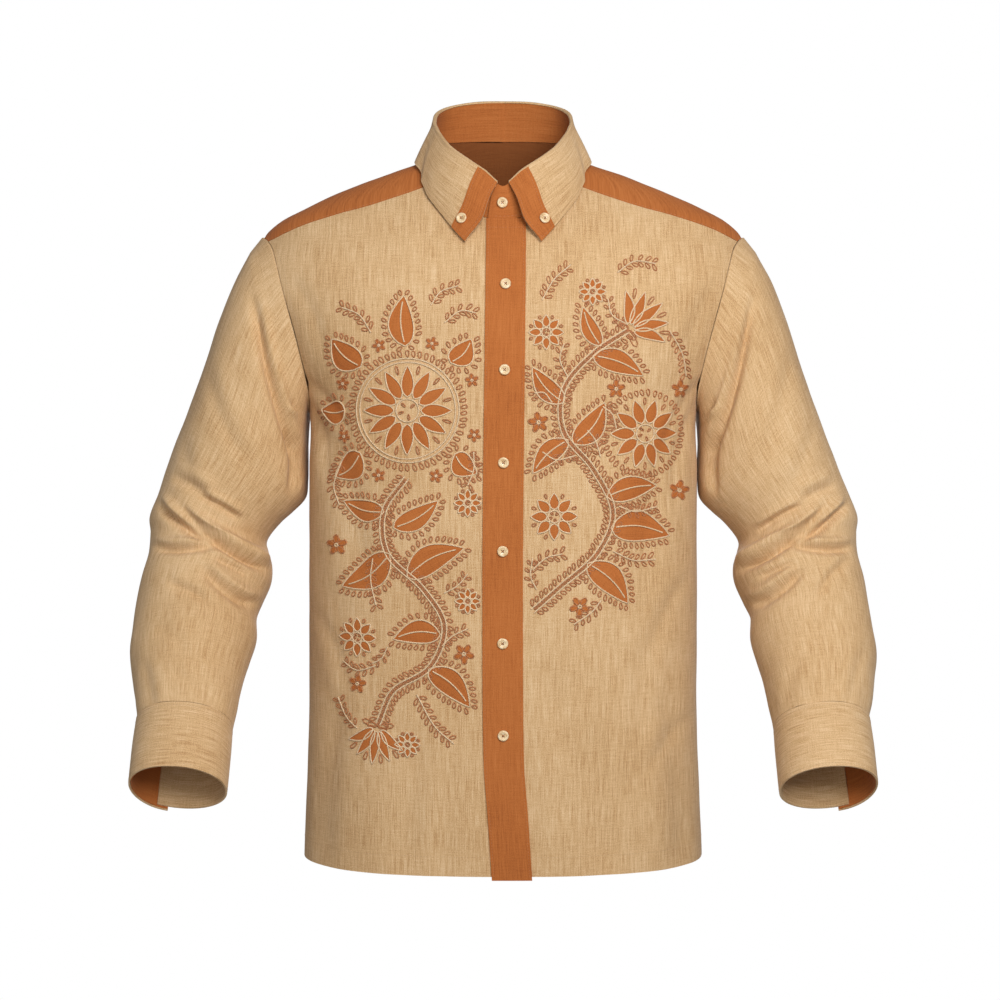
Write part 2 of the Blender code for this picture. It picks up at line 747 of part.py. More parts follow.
def band_point(across, up, lift):
    """The rust binding that lies on the left front end of the fall, from its point to its roll."""
    reach = 0.5 * BAND_ROWS / (len(RIM) - 1)
    return raised(collar_form, reach * across, BAND_TOP * up, 2 * SEAM_GAP + TRIM_CLOTH + lift)


def make_collar(straw, rust):
    cloth("collar_stand", stand_form, 52, 3, BODY_CLOTH, rust)
    cloth("collar_fall", collar_point, 40, 8, COLLAR_CLOTH, straw)
    cloth("collar_band_left", band_point, 3, 7, TRIM_CLOTH, rust)
    cloth("collar_band_right", mirrored(band_point, -1), 3, 7, TRIM_CLOTH, rust)


# Sleeves and cuffs

def ring_point(row, turn, grow=0.0):
    """A point of one sleeve section: turn is 0 at the outer side and a right angle at the front."""
    outer_x, outer_z, inner_x, inner_z, middle_y, half_depth, lean = row
    lean = math.radians(lean)
    outer, inner = Vector((outer_x, middle_y, outer_z)), Vector((inner_x, middle_y, inner_z))
    middle, reach = (outer + inner) / 2, (outer - inner) / 2
    ahead = Vector((0, -math.cos(lean), math.sin(lean)))
    side, front = math.cos(turn), math.sin(turn)
    share = (abs(side) ** SLEEVE_SQUARENESS + abs(front) ** SLEEVE_SQUARENESS) ** (-1 / SLEEVE_SQUARENESS)
    half_width = reach.length
    point = middle + reach / half_width * (half_width + grow) * share * side
    return point + ahead * (half_depth + grow) * share * front


def armhole_point(turn):
    height = armhole_height(turn)
    return Vector((armhole_distance(height), -math.copysign(armhole_depth(height), math.sin(turn)), height))


def sleeve_form(turn, along):
    """The sleeve with no folds: along counts from -2 at the armhole, past its seam step, to its cuff."""
    start = armhole_point(turn) + Vector((ARMHOLE_GAP, 0, 0))
    if along < -1:
        return start + Vector((SEAM_STEP * (along + 2), 0, 0))
    start.x += SEAM_STEP
    if along < 0:
        first = ring_point(SLEEVE[0], turn)
        return start.lerp(first, along + 1)
    columns = list(zip(*SLEEVE))
    return ring_point([curve_value(column, along) for column in columns], turn)


def sleeve_point(turn, along, lift=0.0):
    point = sleeve_form(turn, along)
    around = sleeve_form(turn + 0.004, along) - sleeve_form(turn - 0.004, along)
    if along <= -1:
        height = armhole_height(turn)
        return point + armhole_normal(height, math.sin(turn) < 0) * lift
    down = sleeve_form(turn, along + 0.02) - sleeve_form(turn, max(along - 0.02, -1.0))
    normal = around.cross(down).normalized()
    at_back = math.sin(turn) < 0
    facing = ease(abs(math.sin(turn)) / 0.6) * ease((along + 1) / 2)
    push = fold_push(SLEEVE_FOLDS, point, 1, at_back) * facing
    return point + normal * (lift - push)


def sleeve_surface(across, up, lift):
    """Round the sleeve from its underarm, and down it from the armhole."""
    last = len(SLEEVE) - 1
    return sleeve_point(math.pi * (2 * across - 1), up * (last + 2) - 2, lift)


def cuff_point(turn, down, lift=0.0):
    """The cuff from the outer side's over end, round the front and inner side, to its under end."""
    start, end = SLEEVE[-1], CUFF_END
    gap_share = SEAM_GAP / 0.07
    share = gap_share + (1 - gap_share) * down
    row = [first + (last - first) * share for first, last in zip(start, end)]
    over = ease((CUFF_RISE_START - turn) / (CUFF_RISE_START - CUFF_UNDER_END))
    flare = CUFF_FLARE * math.sin(math.pi * down)
    point = ring_point(row, turn, over * CUFF_OVER_RISE + lift + flare)
    axis = Vector((0, end[4] - start[4], end[1] - start[1])).normalized()
    return point + axis * CUFF_OVER_DROP * ease(-turn / 1.2) * down


def cuff_surface(across, up, lift):
    whole_turn = 2 * math.pi + CUFF_UNDER_END - CUFF_OVER_END
    return cuff_point(CUFF_OVER_END + whole_turn * across, up, lift)


def facing_surface(across, up, lift):
    """The rust facing behind the cuff's over end, which shares the columns of the cuff."""
    whole_turn = 2 * math.pi + CUFF_UNDER_END - CUFF_OVER_END
    first, last = CUFF_OVER_END + 0.01, CUFF_OVER_END + whole_turn * FACING_COLUMNS / CUFF_COLUMNS
    return cuff_point(first + (last - first) * across, 0.02 + 0.965 * up, lift - CUFF_CLOTH - SEAM_GAP)


def slit_surface(across, up, lift):
    """The plain placket that lies on the sleeve's slit, above the cuff's overlap."""
    along = len(SLEEVE) - 1.02 - SLIT_ROWS * (1 - up)
    half_turn = SLIT_WIDTH / 2 / SLIT_RADIUS
    middle = (CUFF_OVER_END + CUFF_UNDER_END) / 2
    return sleeve_point(middle + (2 * across - 1) * half_turn, along, 2 * SEAM_GAP + TRIM_CLOTH + lift)


def make_sleeve(name_end, side, straw, rust):
    surface = mirrored(sleeve_surface, side)
    cloth(f"sleeve_{name_end}", surface, ARMHOLE_STEPS, 20, BODY_CLOTH, straw, joined=True)
    cloth(f"cuff_{name_end}", mirrored(cuff_surface, side), CUFF_COLUMNS, 3, CUFF_CLOTH, straw)
    cloth(f"cuff_facing_{name_end}", mirrored(facing_surface, side), FACING_COLUMNS, 2, TRIM_CLOTH, rust)
    cloth(f"sleeve_placket_{name_end}", mirrored(slit_surface, side), 4, 6, TRIM_CLOTH, straw)


# Buttons

def button(name, seat, normal, material):
    """A round button with a raised rim, its underside just above its seat."""
    shape = bmesh.new()
    radius = BUTTON_DIAMETER / 2
    bmesh.ops.create_cone(
        shape, segments=16, radius1=radius * 0.9, radius2=radius, depth=BUTTON_THICKNESS, cap_ends=True
    )
    top = max(shape.faces, key=lambda face: face.calc_center_median().z)
    bmesh.ops.inset_region(shape, faces=[top], thickness=radius * 0.28, depth=0.0)
    bmesh.ops.translate(shape, verts=top.verts, vec=(0, 0, -BUTTON_THICKNESS * 0.3))
    mesh = bpy.data.meshes.new(name)
    shape.to_mesh(mesh)
    shape.free()
    piece = bpy.data.objects.new(name, mesh)
    bpy.context.scene.collection.objects.link(piece)
    mesh.materials.append(material)
    piece.rotation_euler = normal.to_track_quat("Z", "Y").to_euler()
    piece.location = seat + normal * (SEAM_GAP + BUTTON_THICKNESS / 2)


def make_buttons(cream):
    lift = SEAM_GAP + BODY_CLOTH
    for number, height in enumerate(FRONT_BUTTON_HEIGHTS, start=2):
        angle = body_angle(table_row(PLACKET, height)[0], height)
        seat = body_point(angle, height, lift)
        button(f"button_front_{number}", seat, outward(body_form, angle, height), cream)
    stand_share = (STAND_BUTTON_HEIGHT - NECK[0][1]) / (RIM[0][2] - NECK[0][1])
    seat = stand_point(STAND_BUTTON_TURN, stand_share, SEAM_GAP / 2)
    button("button_front_1", seat, Vector((0, -1, 0)), cream)
    for name_end, side in (("left", 1), ("right", -1)):
        across = 0.5 * CORNER_BUTTON_ROW / (len(RIM) - 1)
        seat = collar_point(across, CORNER_BUTTON_UP, 2 * SEAM_GAP + TRIM_CLOTH)
        normal = (collar_point(across, CORNER_BUTTON_UP, 0.01) - collar_point(across, CORNER_BUTTON_UP, 0)).normalized()
        seat, normal = Vector((seat.x * side, *seat[1:])), Vector((normal.x * side, *normal[1:]))
        button(f"button_collar_{name_end}", seat, normal, cream)
        turn = (CUFF_OVER_END + CUFF_UNDER_END) / 2
        seat = cuff_point(turn, 0.5)
        around = cuff_point(turn + 0.05, 0.5) - cuff_point(turn - 0.05, 0.5)
        down = cuff_point(turn, 0.6) - cuff_point(turn, 0.4)
        normal = around.cross(down).normalized()
        seat, normal = Vector((seat.x * side, *seat[1:])), Vector((normal.x * side, *normal[1:]))
        button(f"button_cuff_{name_end}", seat, normal, cream)


def main():
    clear_scene()
    straw = make_material("straw_linen", STRAW, 0.9)
    rust = make_material("rust_linen", RUST, 0.85)
    cream = make_material("cream_button", CREAM, 0.35)
    make_fronts(straw)
    make_back_and_yoke(straw, rust)
    cloth("placket", placket_point, 3, 30, BODY_CLOTH, rust)
    make_collar(straw, rust)
    make_sleeve("left", 1, straw, rust)
    make_sleeve("right", -1, straw, rust)
    make_buttons(cream)


main()
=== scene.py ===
import math
import random

import bmesh
import bpy
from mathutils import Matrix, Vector, noise


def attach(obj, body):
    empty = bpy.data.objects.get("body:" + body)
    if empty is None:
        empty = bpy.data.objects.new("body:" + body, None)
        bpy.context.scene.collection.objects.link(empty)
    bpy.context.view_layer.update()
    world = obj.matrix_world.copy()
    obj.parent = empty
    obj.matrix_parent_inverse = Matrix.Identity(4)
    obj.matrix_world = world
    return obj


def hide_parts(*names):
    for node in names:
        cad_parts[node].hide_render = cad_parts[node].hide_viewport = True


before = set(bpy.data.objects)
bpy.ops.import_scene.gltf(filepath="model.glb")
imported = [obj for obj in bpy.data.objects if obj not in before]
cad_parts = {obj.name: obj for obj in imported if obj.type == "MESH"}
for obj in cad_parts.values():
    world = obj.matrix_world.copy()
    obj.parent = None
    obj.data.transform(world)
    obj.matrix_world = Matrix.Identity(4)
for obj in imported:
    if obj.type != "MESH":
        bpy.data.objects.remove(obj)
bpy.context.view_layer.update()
fineness = 1.0
print("frame loaded")

# Metres, front towards -Y, the wearer's left towards +X, with the origin at the neck's base

# level sections of the body: height, half width, front depth, back depth, squareness
bodySections = [
    (-0.740, 0.2135, 0.1300, 0.1300, 2.50),
    (-0.680, 0.2112, 0.1325, 0.1310, 2.50),
    (-0.600, 0.2088, 0.1345, 0.1300, 2.50),
    (-0.500, 0.2080, 0.1365, 0.1275, 2.50),
    (-0.400, 0.2080, 0.1378, 0.1265, 2.50),
    (-0.320, 0.2080, 0.1372, 0.1280, 2.45),
    (-0.262, 0.2080, 0.1355, 0.1310, 2.40),
    (-0.200, 0.2250, 0.1300, 0.1330, 2.35),
    (-0.140, 0.2500, 0.1195, 0.1300, 2.25),
    (-0.100, 0.2580, 0.1070, 0.1210, 2.05),
    (-0.0732, 0.2575, 0.0955, 0.1120, 1.85),
    (-0.0562, 0.2400, 0.0830, 0.1070, 1.92),
    (-0.0410, 0.2106, 0.0700, 0.1030, 2.05),
    (-0.0259, 0.1780, 0.0570, 0.0990, 2.10),
    (-0.0087, 0.1350, 0.0430, 0.0930, 2.10),
    (0.0043, 0.0975, 0.0345, 0.0890, 2.10),
    (0.0100, 0.0850, 0.0310, 0.0870, 2.10),
    (0.0180, 0.0820, 0.0280, 0.0845, 2.10),
    (0.0300, 0.0798, 0.0250, 0.0805, 2.10),
    (0.0450, 0.0775, 0.0220, 0.0765, 2.10),
]

body = {
    "hem": -0.7345,
    "thickness": 0.0013,
    "seamGap": 0.0004,
    "underFrontReach": 0.0135,
    "overFrontSetback": 0.0152,
    "backYokeMiddle": -0.070,
    "lowerShare": 0.56,
}

armhole = {
    "top": -0.0732,
    "bottom": -0.262,
    "halfDepth": 0.068,
    "squareness": 2.1,
    "frontTurn": math.radians(20),
    "backTurn": math.radians(46.6667),
    # the seam's line from the front: height, distance from the middle
    "line": [
        (-0.262, 0.2080),
        (-0.250, 0.2060),
        (-0.235, 0.2062),
        (-0.193, 0.2147),
        (-0.137, 0.2300),
        (-0.0893, 0.2440),
        (-0.0787, 0.2508),
        (-0.0732, 0.2575),
    ],
}


def withMirrored(creases):  # the same creases on both sides
    mirrored = []
    for startX, startZ, endX, endZ, bow, *rest in creases:
        mirrored.append((-startX, startZ, -endX, endZ, -bow, *rest))
    return creases + mirrored


# creases of the body, seen from the front or the back:
# start x, start z, end x, end z, bow, half width, depth, share of the ridge beside it
frontCreases = withMirrored([
    (0.1850, -0.2700, 0.1450, -0.4300, 0.008, 0.0140, 0.0035, 0.3),
    (0.1700, -0.5600, 0.1900, -0.7300, -0.004, 0.0150, 0.0040, 0.3),
    (0.0900, -0.5900, 0.1050, -0.7300, 0.004, 0.0180, 0.0025, 0.3),
]) + [
    (0.0840, -0.0500, 0.0880, -0.1900, 0.001, 0.0030, 0.0007, -0.6),
    (0.2120, -0.2250, 0.1700, -0.2900, 0.005, 0.0060, 0.0022, 0.5),
    (0.2060, -0.2480, 0.1780, -0.3500, 0.007, 0.0060, 0.0020, 0.5),
    (-0.2100, -0.2250, -0.1620, -0.2780, -0.005, 0.0060, 0.0022, 0.5),
    (-0.2060, -0.2450, -0.1850, -0.3300, -0.006, 0.0055, 0.0020, 0.5),
    (0.1500, -0.4900, 0.1450, -0.6400, 0.005, 0.0120, 0.0016, 0.4),
    (-0.0500, -0.6200, -0.0620, -0.7300, 0.003, 0.0110, 0.0014, 0.4),
    (0.0500, -0.5300, 0.0620, -0.6800, -0.003, 0.0120, 0.0013, 0.4),
    (0.1960, -0.4300, 0.1550, -0.5100, 0.006, 0.0080, 0.0016, 0.4),
    (-0.1980, -0.4700, -0.1600, -0.5500, -0.006, 0.0080, 0.0015, 0.4),
    (0.1980, -0.5800, 0.1500, -0.6300, 0.004, 0.0080, 0.0013, 0.4),
    (0.0280, -0.1250, 0.0900, -0.1450, 0.003, 0.0080, 0.0007, 0.4),
    (-0.2200, -0.1200, -0.1850, -0.2000, -0.004, 0.0080, 0.0014, 0.4),
    (0.2240, -0.1250, 0.1900, -0.2050, 0.004, 0.0080, 0.0014, 0.4),
]

backCreases = withMirrored([
    (0.1700, -0.2600, 0.0900, -0.3900, 0.010, 0.0170, 0.0045, 0.3),
    (0.1500, -0.4700, 0.1600, -0.7300, -0.005, 0.0180, 0.0045, 0.3),
    (0.0500, -0.4400, 0.0600, -0.7300, 0.004, 0.0200, 0.0040, 0.3),
]) + [
    (0.2000, -0.2300, 0.1300, -0.3000, 0.008, 0.0070, 0.0020, 0.5),
    (-0.2020, -0.2200, -0.1400, -0.2850, -0.008, 0.0070, 0.0022, 0.5),
    (0.0150, -0.3000, -0.0200, -0.4600, 0.006, 0.0150, 0.0022, 0.4),
    (0.1850, -0.4000, 0.1100, -0.4600, 0.006, 0.0090, 0.0018, 0.4),
    (-0.1850, -0.4200, -0.1000, -0.4700, -0.006, 0.0090, 0.0017, 0.4),
    (0.1000, -0.5600, 0.1120, -0.7300, 0.003, 0.0120, 0.0020, 0.4),
    (-0.1020, -0.5900, -0.1000, -0.7300, 0.003, 0.0120, 0.0018, 0.4),
]


def pastMiddles(values, sign, fullTurn=0.0):  # carries a half's values past both of its middles
    before = [sign * value for value in (values[2], values[1])]
    after = [fullTurn + sign * value for value in (values[-2], values[-3])]
    return before + list(values) + after


def cubic(start, end, leave, arrive, share):
    bend = (3 * (end - start) - 2 * leave - arrive) * share**2
    return start + leave * share + bend + (2 * (start - end) + leave + arrive) * share**3


def curveValue(values, at):
    last = len(values) - 1
    at = min(max(at, 0.0), float(last))
    row = min(int(at), last - 1)
    start, end = values[row], values[row + 1]
    before = values[row - 1] if row > 0 else 2 * start - end
    after = values[row + 2] if row + 2 <= last else 2 * end - start
    return cubic(start, end, (end - before) / 2, (after - start) / 2, at - row)


def tableRow(rows, at):
    last = len(rows) - 1
    at = min(max(at, rows[0][0]), rows[last][0])
    row = 0
    while row < last - 1 and at > rows[row + 1][0]:
        row += 1

    def slope(first, second, column):
        return (rows[second][column] - rows[first][column]) / (rows[second][0] - rows[first][0])

    width = rows[row + 1][0] - rows[row][0]
    share = (at - rows[row][0]) / width
    found = []
    for column in range(1, len(rows[0])):
        leave = slope(max(row - 1, 0), row + 1, column)
        arrive = slope(row, min(row + 2, last), column)
        found.append(cubic(rows[row][column], rows[row + 1][column], leave * width, arrive * width, share))
    return found


def ease(share):
    share = min(max(share, 0.0), 1.0)
    return share * share * (3 - 2 * share)


def creasePush(creases, x, z):  # how far soft troughs sink and their ridges rise at a place
    push = 0.0
    for startX, startZ, endX, endZ, bow, halfWidth, depth, ridge in creases:
        runX, runZ = endX - startX, endZ - startZ
        fromX, fromZ = x - startX, z - startZ
        squared = runX * runX + runZ * runZ
        along = (fromX * runX + fromZ * runZ) / squared
        if not -0.15 < along < 1.15:
            continue
        length = math.sqrt(squared)
        bowed = bow * math.sin(math.pi * min(max(along, 0.0), 1.0))
        across = (fromX * runZ - fromZ * runX) / length - bowed
        if abs(across) > 4.5 * halfWidth:
            continue
        fade = ease((along + 0.15) / 0.35) * ease((1.15 - along) / 0.35)
        trough = math.exp(-((across / halfWidth) ** 2))
        beside = math.exp(-(((across - 2.1 * halfWidth) / halfWidth) ** 2))
        push += depth * fade * (trough - ridge * beside)
    return push


# the body's form

lineSteps = 2400
lineLow, lineHigh = -0.75, 0.05
armholeMiddle = (armhole["top"] + armhole["bottom"]) / 2
armholeHalf = (armhole["top"] - armhole["bottom"]) / 2


def armholeDistance(height):
    return tableRow(armhole["line"], height)[0]


def armholeHeight(turn):
    up, front = abs(math.cos(turn)), abs(math.sin(turn))
    reach = (up ** armhole["squareness"] + front ** armhole["squareness"]) ** (-1 / armhole["squareness"])
    return armholeMiddle + armholeHalf * reach * math.cos(turn)


def armholeDepth(height):
    share = abs(height - armholeMiddle) / armholeHalf
    if share >= 1:
        return 0.0
    return armhole["halfDepth"] * (1 - share ** armhole["squareness"]) ** (1 / armhole["squareness"])


lineHeights = [lineLow + (lineHigh - lineLow) * step / lineSteps for step in range(lineSteps + 1)]
sectionRows = [tableRow(bodySections, height) for height in lineHeights]


def bodySection(height, atBack):
    at = min(max((height - lineLow) / (lineHigh - lineLow) * lineSteps, 0.0), lineSteps - 0.001)
    row = int(at)
    share = at - row
    low, high = sectionRows[row], sectionRows[row + 1]
    halfWidth, front, back, squareness = (first + (last - first) * share for first, last in zip(low, high))
    depth = back if atBack else front
    reach = armholeDepth(height)
    if reach > 0:
        halfWidth = armholeDistance(height) / (1 - (reach / depth) ** squareness) ** (1 / squareness)
    return halfWidth, depth, squareness


def bodyForm(angle, height):
    side, ahead = math.sin(angle), math.cos(angle)
    halfWidth, depth, squareness = bodySection(height, ahead < 0)
    reach = (abs(side) ** squareness + abs(ahead) ** squareness) ** (-1 / squareness)
    return Vector((halfWidth * reach * side, -depth * reach * ahead, height))


def outward(form, first, second, step=0.0008):
    alongFirst = form(first + step, second) - form(first - step, second)
    alongSecond = form(first, second + step) - form(first, second - step)
    return alongFirst.cross(alongSecond).normalized()


def wavering(point, size, seed):  # gentle unevenness of worn cloth
    place = Vector((point.x / size, point.y / size, point.z / (size * 1.7)))
    return noise.noise(place + Vector((seed, seed * 0.7, seed * 1.3)))


def bodySurface(angle, height):
    point = bodyForm(angle, height)
    normal = outward(bodyForm, angle, height)
    atBack = math.cos(angle) < 0
    facing = ease(abs(normal.y) / 0.5)
    push = creasePush(backCreases if atBack else frontCreases, point.x, height) * facing
    calm = ease((abs(point.x) - 0.02) / 0.03)
    push += (0.0011 * wavering(point, 0.075, 3.1) + 0.00045 * wavering(point, 0.026, 7.7)) * calm
    return point - normal * push, normal


def bodyAngle(distance, height, atBack=False):
    halfWidth, _, squareness = bodySection(height, atBack)
    share = min(abs(distance) / halfWidth, 1.0)
    ahead = (1 - share**squareness) ** (1 / squareness)
    angle = math.atan2(share, ahead)
    if atBack:
        angle = math.pi - angle
    return math.copysign(angle, distance)


def armholeAngle(height, atBack):
    reach = armholeDepth(height)
    if reach <= 0:
        return math.pi / 2
    halfWidth, depth, _ = bodySection(height, atBack)
    angle = math.atan2(armholeDistance(height) / halfWidth, reach / depth)
    return math.pi - angle if atBack else angle


# metres round the body from the front middle, in rows of height and steps of angle
girth = {"rows": 80, "steps": 72}


def girthRow(row):
    height = lineLow + (lineHigh - lineLow) * row / girth["rows"]
    places = [bodyForm(math.pi * step / girth["steps"], height) for step in range(girth["steps"] + 1)]
    lengths = [0.0]
    for start, end in zip(places, places[1:]):
        lengths.append(lengths[-1] + (end - start).length)
    return lengths


girthTable = [girthRow(row) for row in range(girth["rows"] + 1)]


def threadPlace(angle, height):  # metres across the threads and along them, for the weave
    turned = abs(angle) if abs(angle) <= math.pi else 2 * math.pi - abs(angle)
    row = (height - lineLow) / (lineHigh - lineLow) * girth["rows"]
    step = min(turned / math.pi * girth["steps"], girth["steps"] - 0.001)
    row, step, rowShare, stepShare = int(row), int(step), row % 1, step % 1
    pair = girthTable[row:row + 2]
    low, high = (lengths[step] + (lengths[step + 1] - lengths[step]) * stepShare for lengths in pair)
    around = low + (high - low) * rowShare
    return math.copysign(around, angle), height


def backThreadPlace(angle, height):  # the same, counted from the back middle
    half = threadPlace(math.pi, height)[0]
    side = 1 if angle > math.pi else -1
    return side * (half - threadPlace(angle, height)[0]), height


# the middle line of the placket: height, distance from the middle
placketLine = [
    (-0.740, 0.0092),
    (-0.676, 0.0050),
    (-0.615, 0.0006),
    (-0.452, -0.0005),
    (-0.349, 0.0000),
    (-0.215, 0.0015),
    (-0.082, 0.0030),
    (-0.055, 0.0030),
]

# the neck seam from the front middle to the back middle: from the middle, height, at the back
neckSeam = [
    (0.0000, -0.0590, False),
    (0.0300, -0.0545, False),
    (0.0550, -0.0395, False),
    (0.0735, -0.0178, False),
    (0.0805, 0.0000, False),
    (0.0820, 0.0095, False),
    (0.0818, 0.0185, False),
    (0.0780, 0.0285, True),
    (0.0580, 0.0345, True),
    (0.0300, 0.0375, True),
    (0.0000, 0.0380, True),
]

# the collar's rim beside the rows of the neck seam: x, y, z
collarRim = [
    (0.0000, -0.0868, -0.0240),
    (0.0200, -0.0830, -0.0090),
    (0.0400, -0.0725, 0.0045),
    (0.0575, -0.0550, 0.0180),
    (0.0682, -0.0335, 0.0325),
    (0.0738, -0.0150, 0.0430),
    (0.0764, 0.0040, 0.0520),
    (0.0738, 0.0310, 0.0640),
    (0.0595, 0.0565, 0.0735),
    (0.0325, 0.0715, 0.0795),
    (0.0000, 0.0765, 0.0812),
]

# the collar's outer edge from its point to the back middle: from the middle, height, at the back
collarEdge = [
    (0.0390, -0.0850, False),
    (0.0525, -0.0702, False),
    (0.0655, -0.0540, False),
    (0.0775, -0.0378, False),
    (0.0855, -0.0210, False),
    (0.0892, -0.0045, False),
    (0.0862, 0.0098, False),
    (0.0780, 0.0136, True),
    (0.0600, 0.0155, True),
    (0.0320, 0.0180, True),
    (0.0000, 0.0190, True),
]

# the yoke's front seam from the neck to the armhole: from the middle, height
yokeSeam = [
    (0.0735, -0.0178),
    (0.1060, -0.0305),
    (0.1420, -0.0425),
    (0.1800, -0.0525),
    (0.2170, -0.0640),
    (0.2503, -0.0782),
]


def anglesAndHeights(rows):
    angles = [bodyAngle(distance, height, atBack) for distance, height, atBack in rows]
    return pastMiddles(angles, -1, 2 * math.pi), pastMiddles([row[1] for row in rows], 1)


def fromPoint(values):  # goes straight on past the first value, which is a free corner
    step = values[3] - values[2]
    return [values[2] - 2 * step, values[2] - step] + values[2:]


neckAngles, neckHeights = anglesAndHeights(neckSeam)
edgeAngles, edgeHeights = [fromPoint(values) for values in anglesAndHeights(collarEdge)]
rimColumns = [pastMiddles([place[axis] for place in collarRim], sign) for axis, sign in enumerate((-1, 1, 1))]
neckLast = len(neckSeam) - 1
yokeRow = 3


def neckPlace(row):
    return curveValue(neckAngles, row + 2), curveValue(neckHeights, row + 2)


def neckRow(distance):
    low, high = -1.0, 1.0
    for _ in range(30):
        middle = (low + high) / 2
        if bodyForm(*neckPlace(middle)).x < distance:
            low = middle
        else:
            high = middle
    return low


def panelPlace(toSide, up, topTurn, middleAngle, top, atBack):
    height, rise = body["hem"] + (armhole["bottom"] - body["hem"]) * up / body["lowerShare"], 0.0
    if up > body["lowerShare"]:
        turn = math.pi - (math.pi - topTurn) * (up - body["lowerShare"]) / (1 - body["lowerShare"])
        height = armholeHeight(turn)
        rise = ((height - armhole["bottom"]) / (armholeHeight(topTurn) - armhole["bottom"])) ** 2
    height -= body["seamGap"] / 2 * rise
    gap = body["seamGap"] / 2 / bodySection(height, atBack)[1]
    end = armholeAngle(height, atBack) + (gap if atBack else -gap)
    middleTop, sideTop, ownTop = top(0), top(1), top(toSide)
    start = middleAngle(height + (middleTop[1] - sideTop[1]) * rise)
    topShare = (ownTop[0] - middleTop[0]) / (sideTop[0] - middleTop[0])
    share = toSide + (topShare - toSide) * rise
    return start + (end - start) * share, height + (ownTop[1] - sideTop[1]) * rise


# making cloth

def sized(*counts):
    return [max(2, int(count * fineness)) for count in counts]


def cloth(name, surface, columns, rows, thickness, paints, joined=False):
    # surface(across, up) gives a point, its normal and its place on the weave;
    # of two paints, the second is on the inner face
    shape = bmesh.new()
    bmesh.ops.create_grid(shape, x_segments=columns, y_segments=rows, size=0.5, calc_uvs=True)
    weave = shape.loops.layers.uv.verify()
    copied = bmesh.ops.extrude_face_region(shape, geom=shape.faces[:], use_keep_orig=True)
    behind = [item for item in copied["geom"] if isinstance(item, bmesh.types.BMVert)]
    bmesh.ops.translate(shape, verts=behind, vec=(0, 0, -1))
    bmesh.ops.recalc_face_normals(shape, faces=shape.faces)
    if joined:
        ends = [face for face in shape.faces if abs(face.normal.x) > 0.9]
        bmesh.ops.delete(shape, geom=ends, context="FACES_ONLY")
    for face in shape.faces:
        if face.calc_center_median().z < -0.9:
            face.material_index = len(paints) - 1
    known = {}
    for vertex in shape.verts:
        key = (round(vertex.co.x, 6), round(vertex.co.y, 6))
        if key not in known:
            known[key] = surface(vertex.co.x + 0.5, vertex.co.y + 0.5)
        point, normal, place = known[key]
        lift = vertex.co.z * thickness
        for loop in vertex.link_loops:
            loop[weave].uv = place
        vertex.co = point + normal * lift
    if joined:
        bmesh.ops.remove_doubles(shape, verts=shape.verts, dist=0.00001)
    return finished(name, shape, paints, math.radians(50))


def finished(name, shape, paints, sharpFrom=math.radians(40)):
    for face in shape.faces:
        face.smooth = True
    mesh = bpy.data.meshes.new(name)
    shape.to_mesh(mesh)
    shape.free()
    mesh.set_sharp_from_angle(angle=sharpFrom)
    piece = bpy.data.objects.new(name, mesh)
    bpy.context.scene.collection.objects.link(piece)
    for paint in paints:
        mesh.materials.append(paint)
    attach(piece, "root")
    return piece


def sewn(name, node, surface, grid, linenKind, flat, thickness=body["thickness"], joined=False):
    piece = cloth(name, surface, *grid, thickness, linenKind["paints"], joined)
    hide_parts(node)


def raised(form, across, up):
    step = 0.002
    aside = form(min(across + step, 1), up) - form(max(across - step, 0), up)
    above = form(across, min(up + step, 1)) - form(across, max(up - step, 0))
    return form(across, up), aside.cross(above).normalized()


def onSide(vector, side):
    return Vector((vector.x * side, vector.y, vector.z))


def otherSide(surface):  # the same form on the wearer's right, still facing out
    def other(across, up):
        point, normal, place = surface(1 - across, up)
        return onSide(point, -1), onSide(normal, -1), (-place[0], place[1])

    return other


def placed(surface, side):
    return surface if side > 0 else otherSide(surface)


# shader maths

class Wire:
    def __init__(self, graph, socket):
        self.graph = graph
        self.socket = socket

    def joined(self, operation, other, turned=False):
        pair = (other, self) if turned else (self, other)
        return self.graph.node("ShaderNodeMath", {"operation": operation}, pair)

    def __add__(self, other):
        return self.joined("ADD", other)

    def __radd__(self, other):
        return self.joined("ADD", other, True)

    def __sub__(self, other):
        return self.joined("SUBTRACT", other)

    def __mul__(self, other):
        return self.joined("MULTIPLY", other)


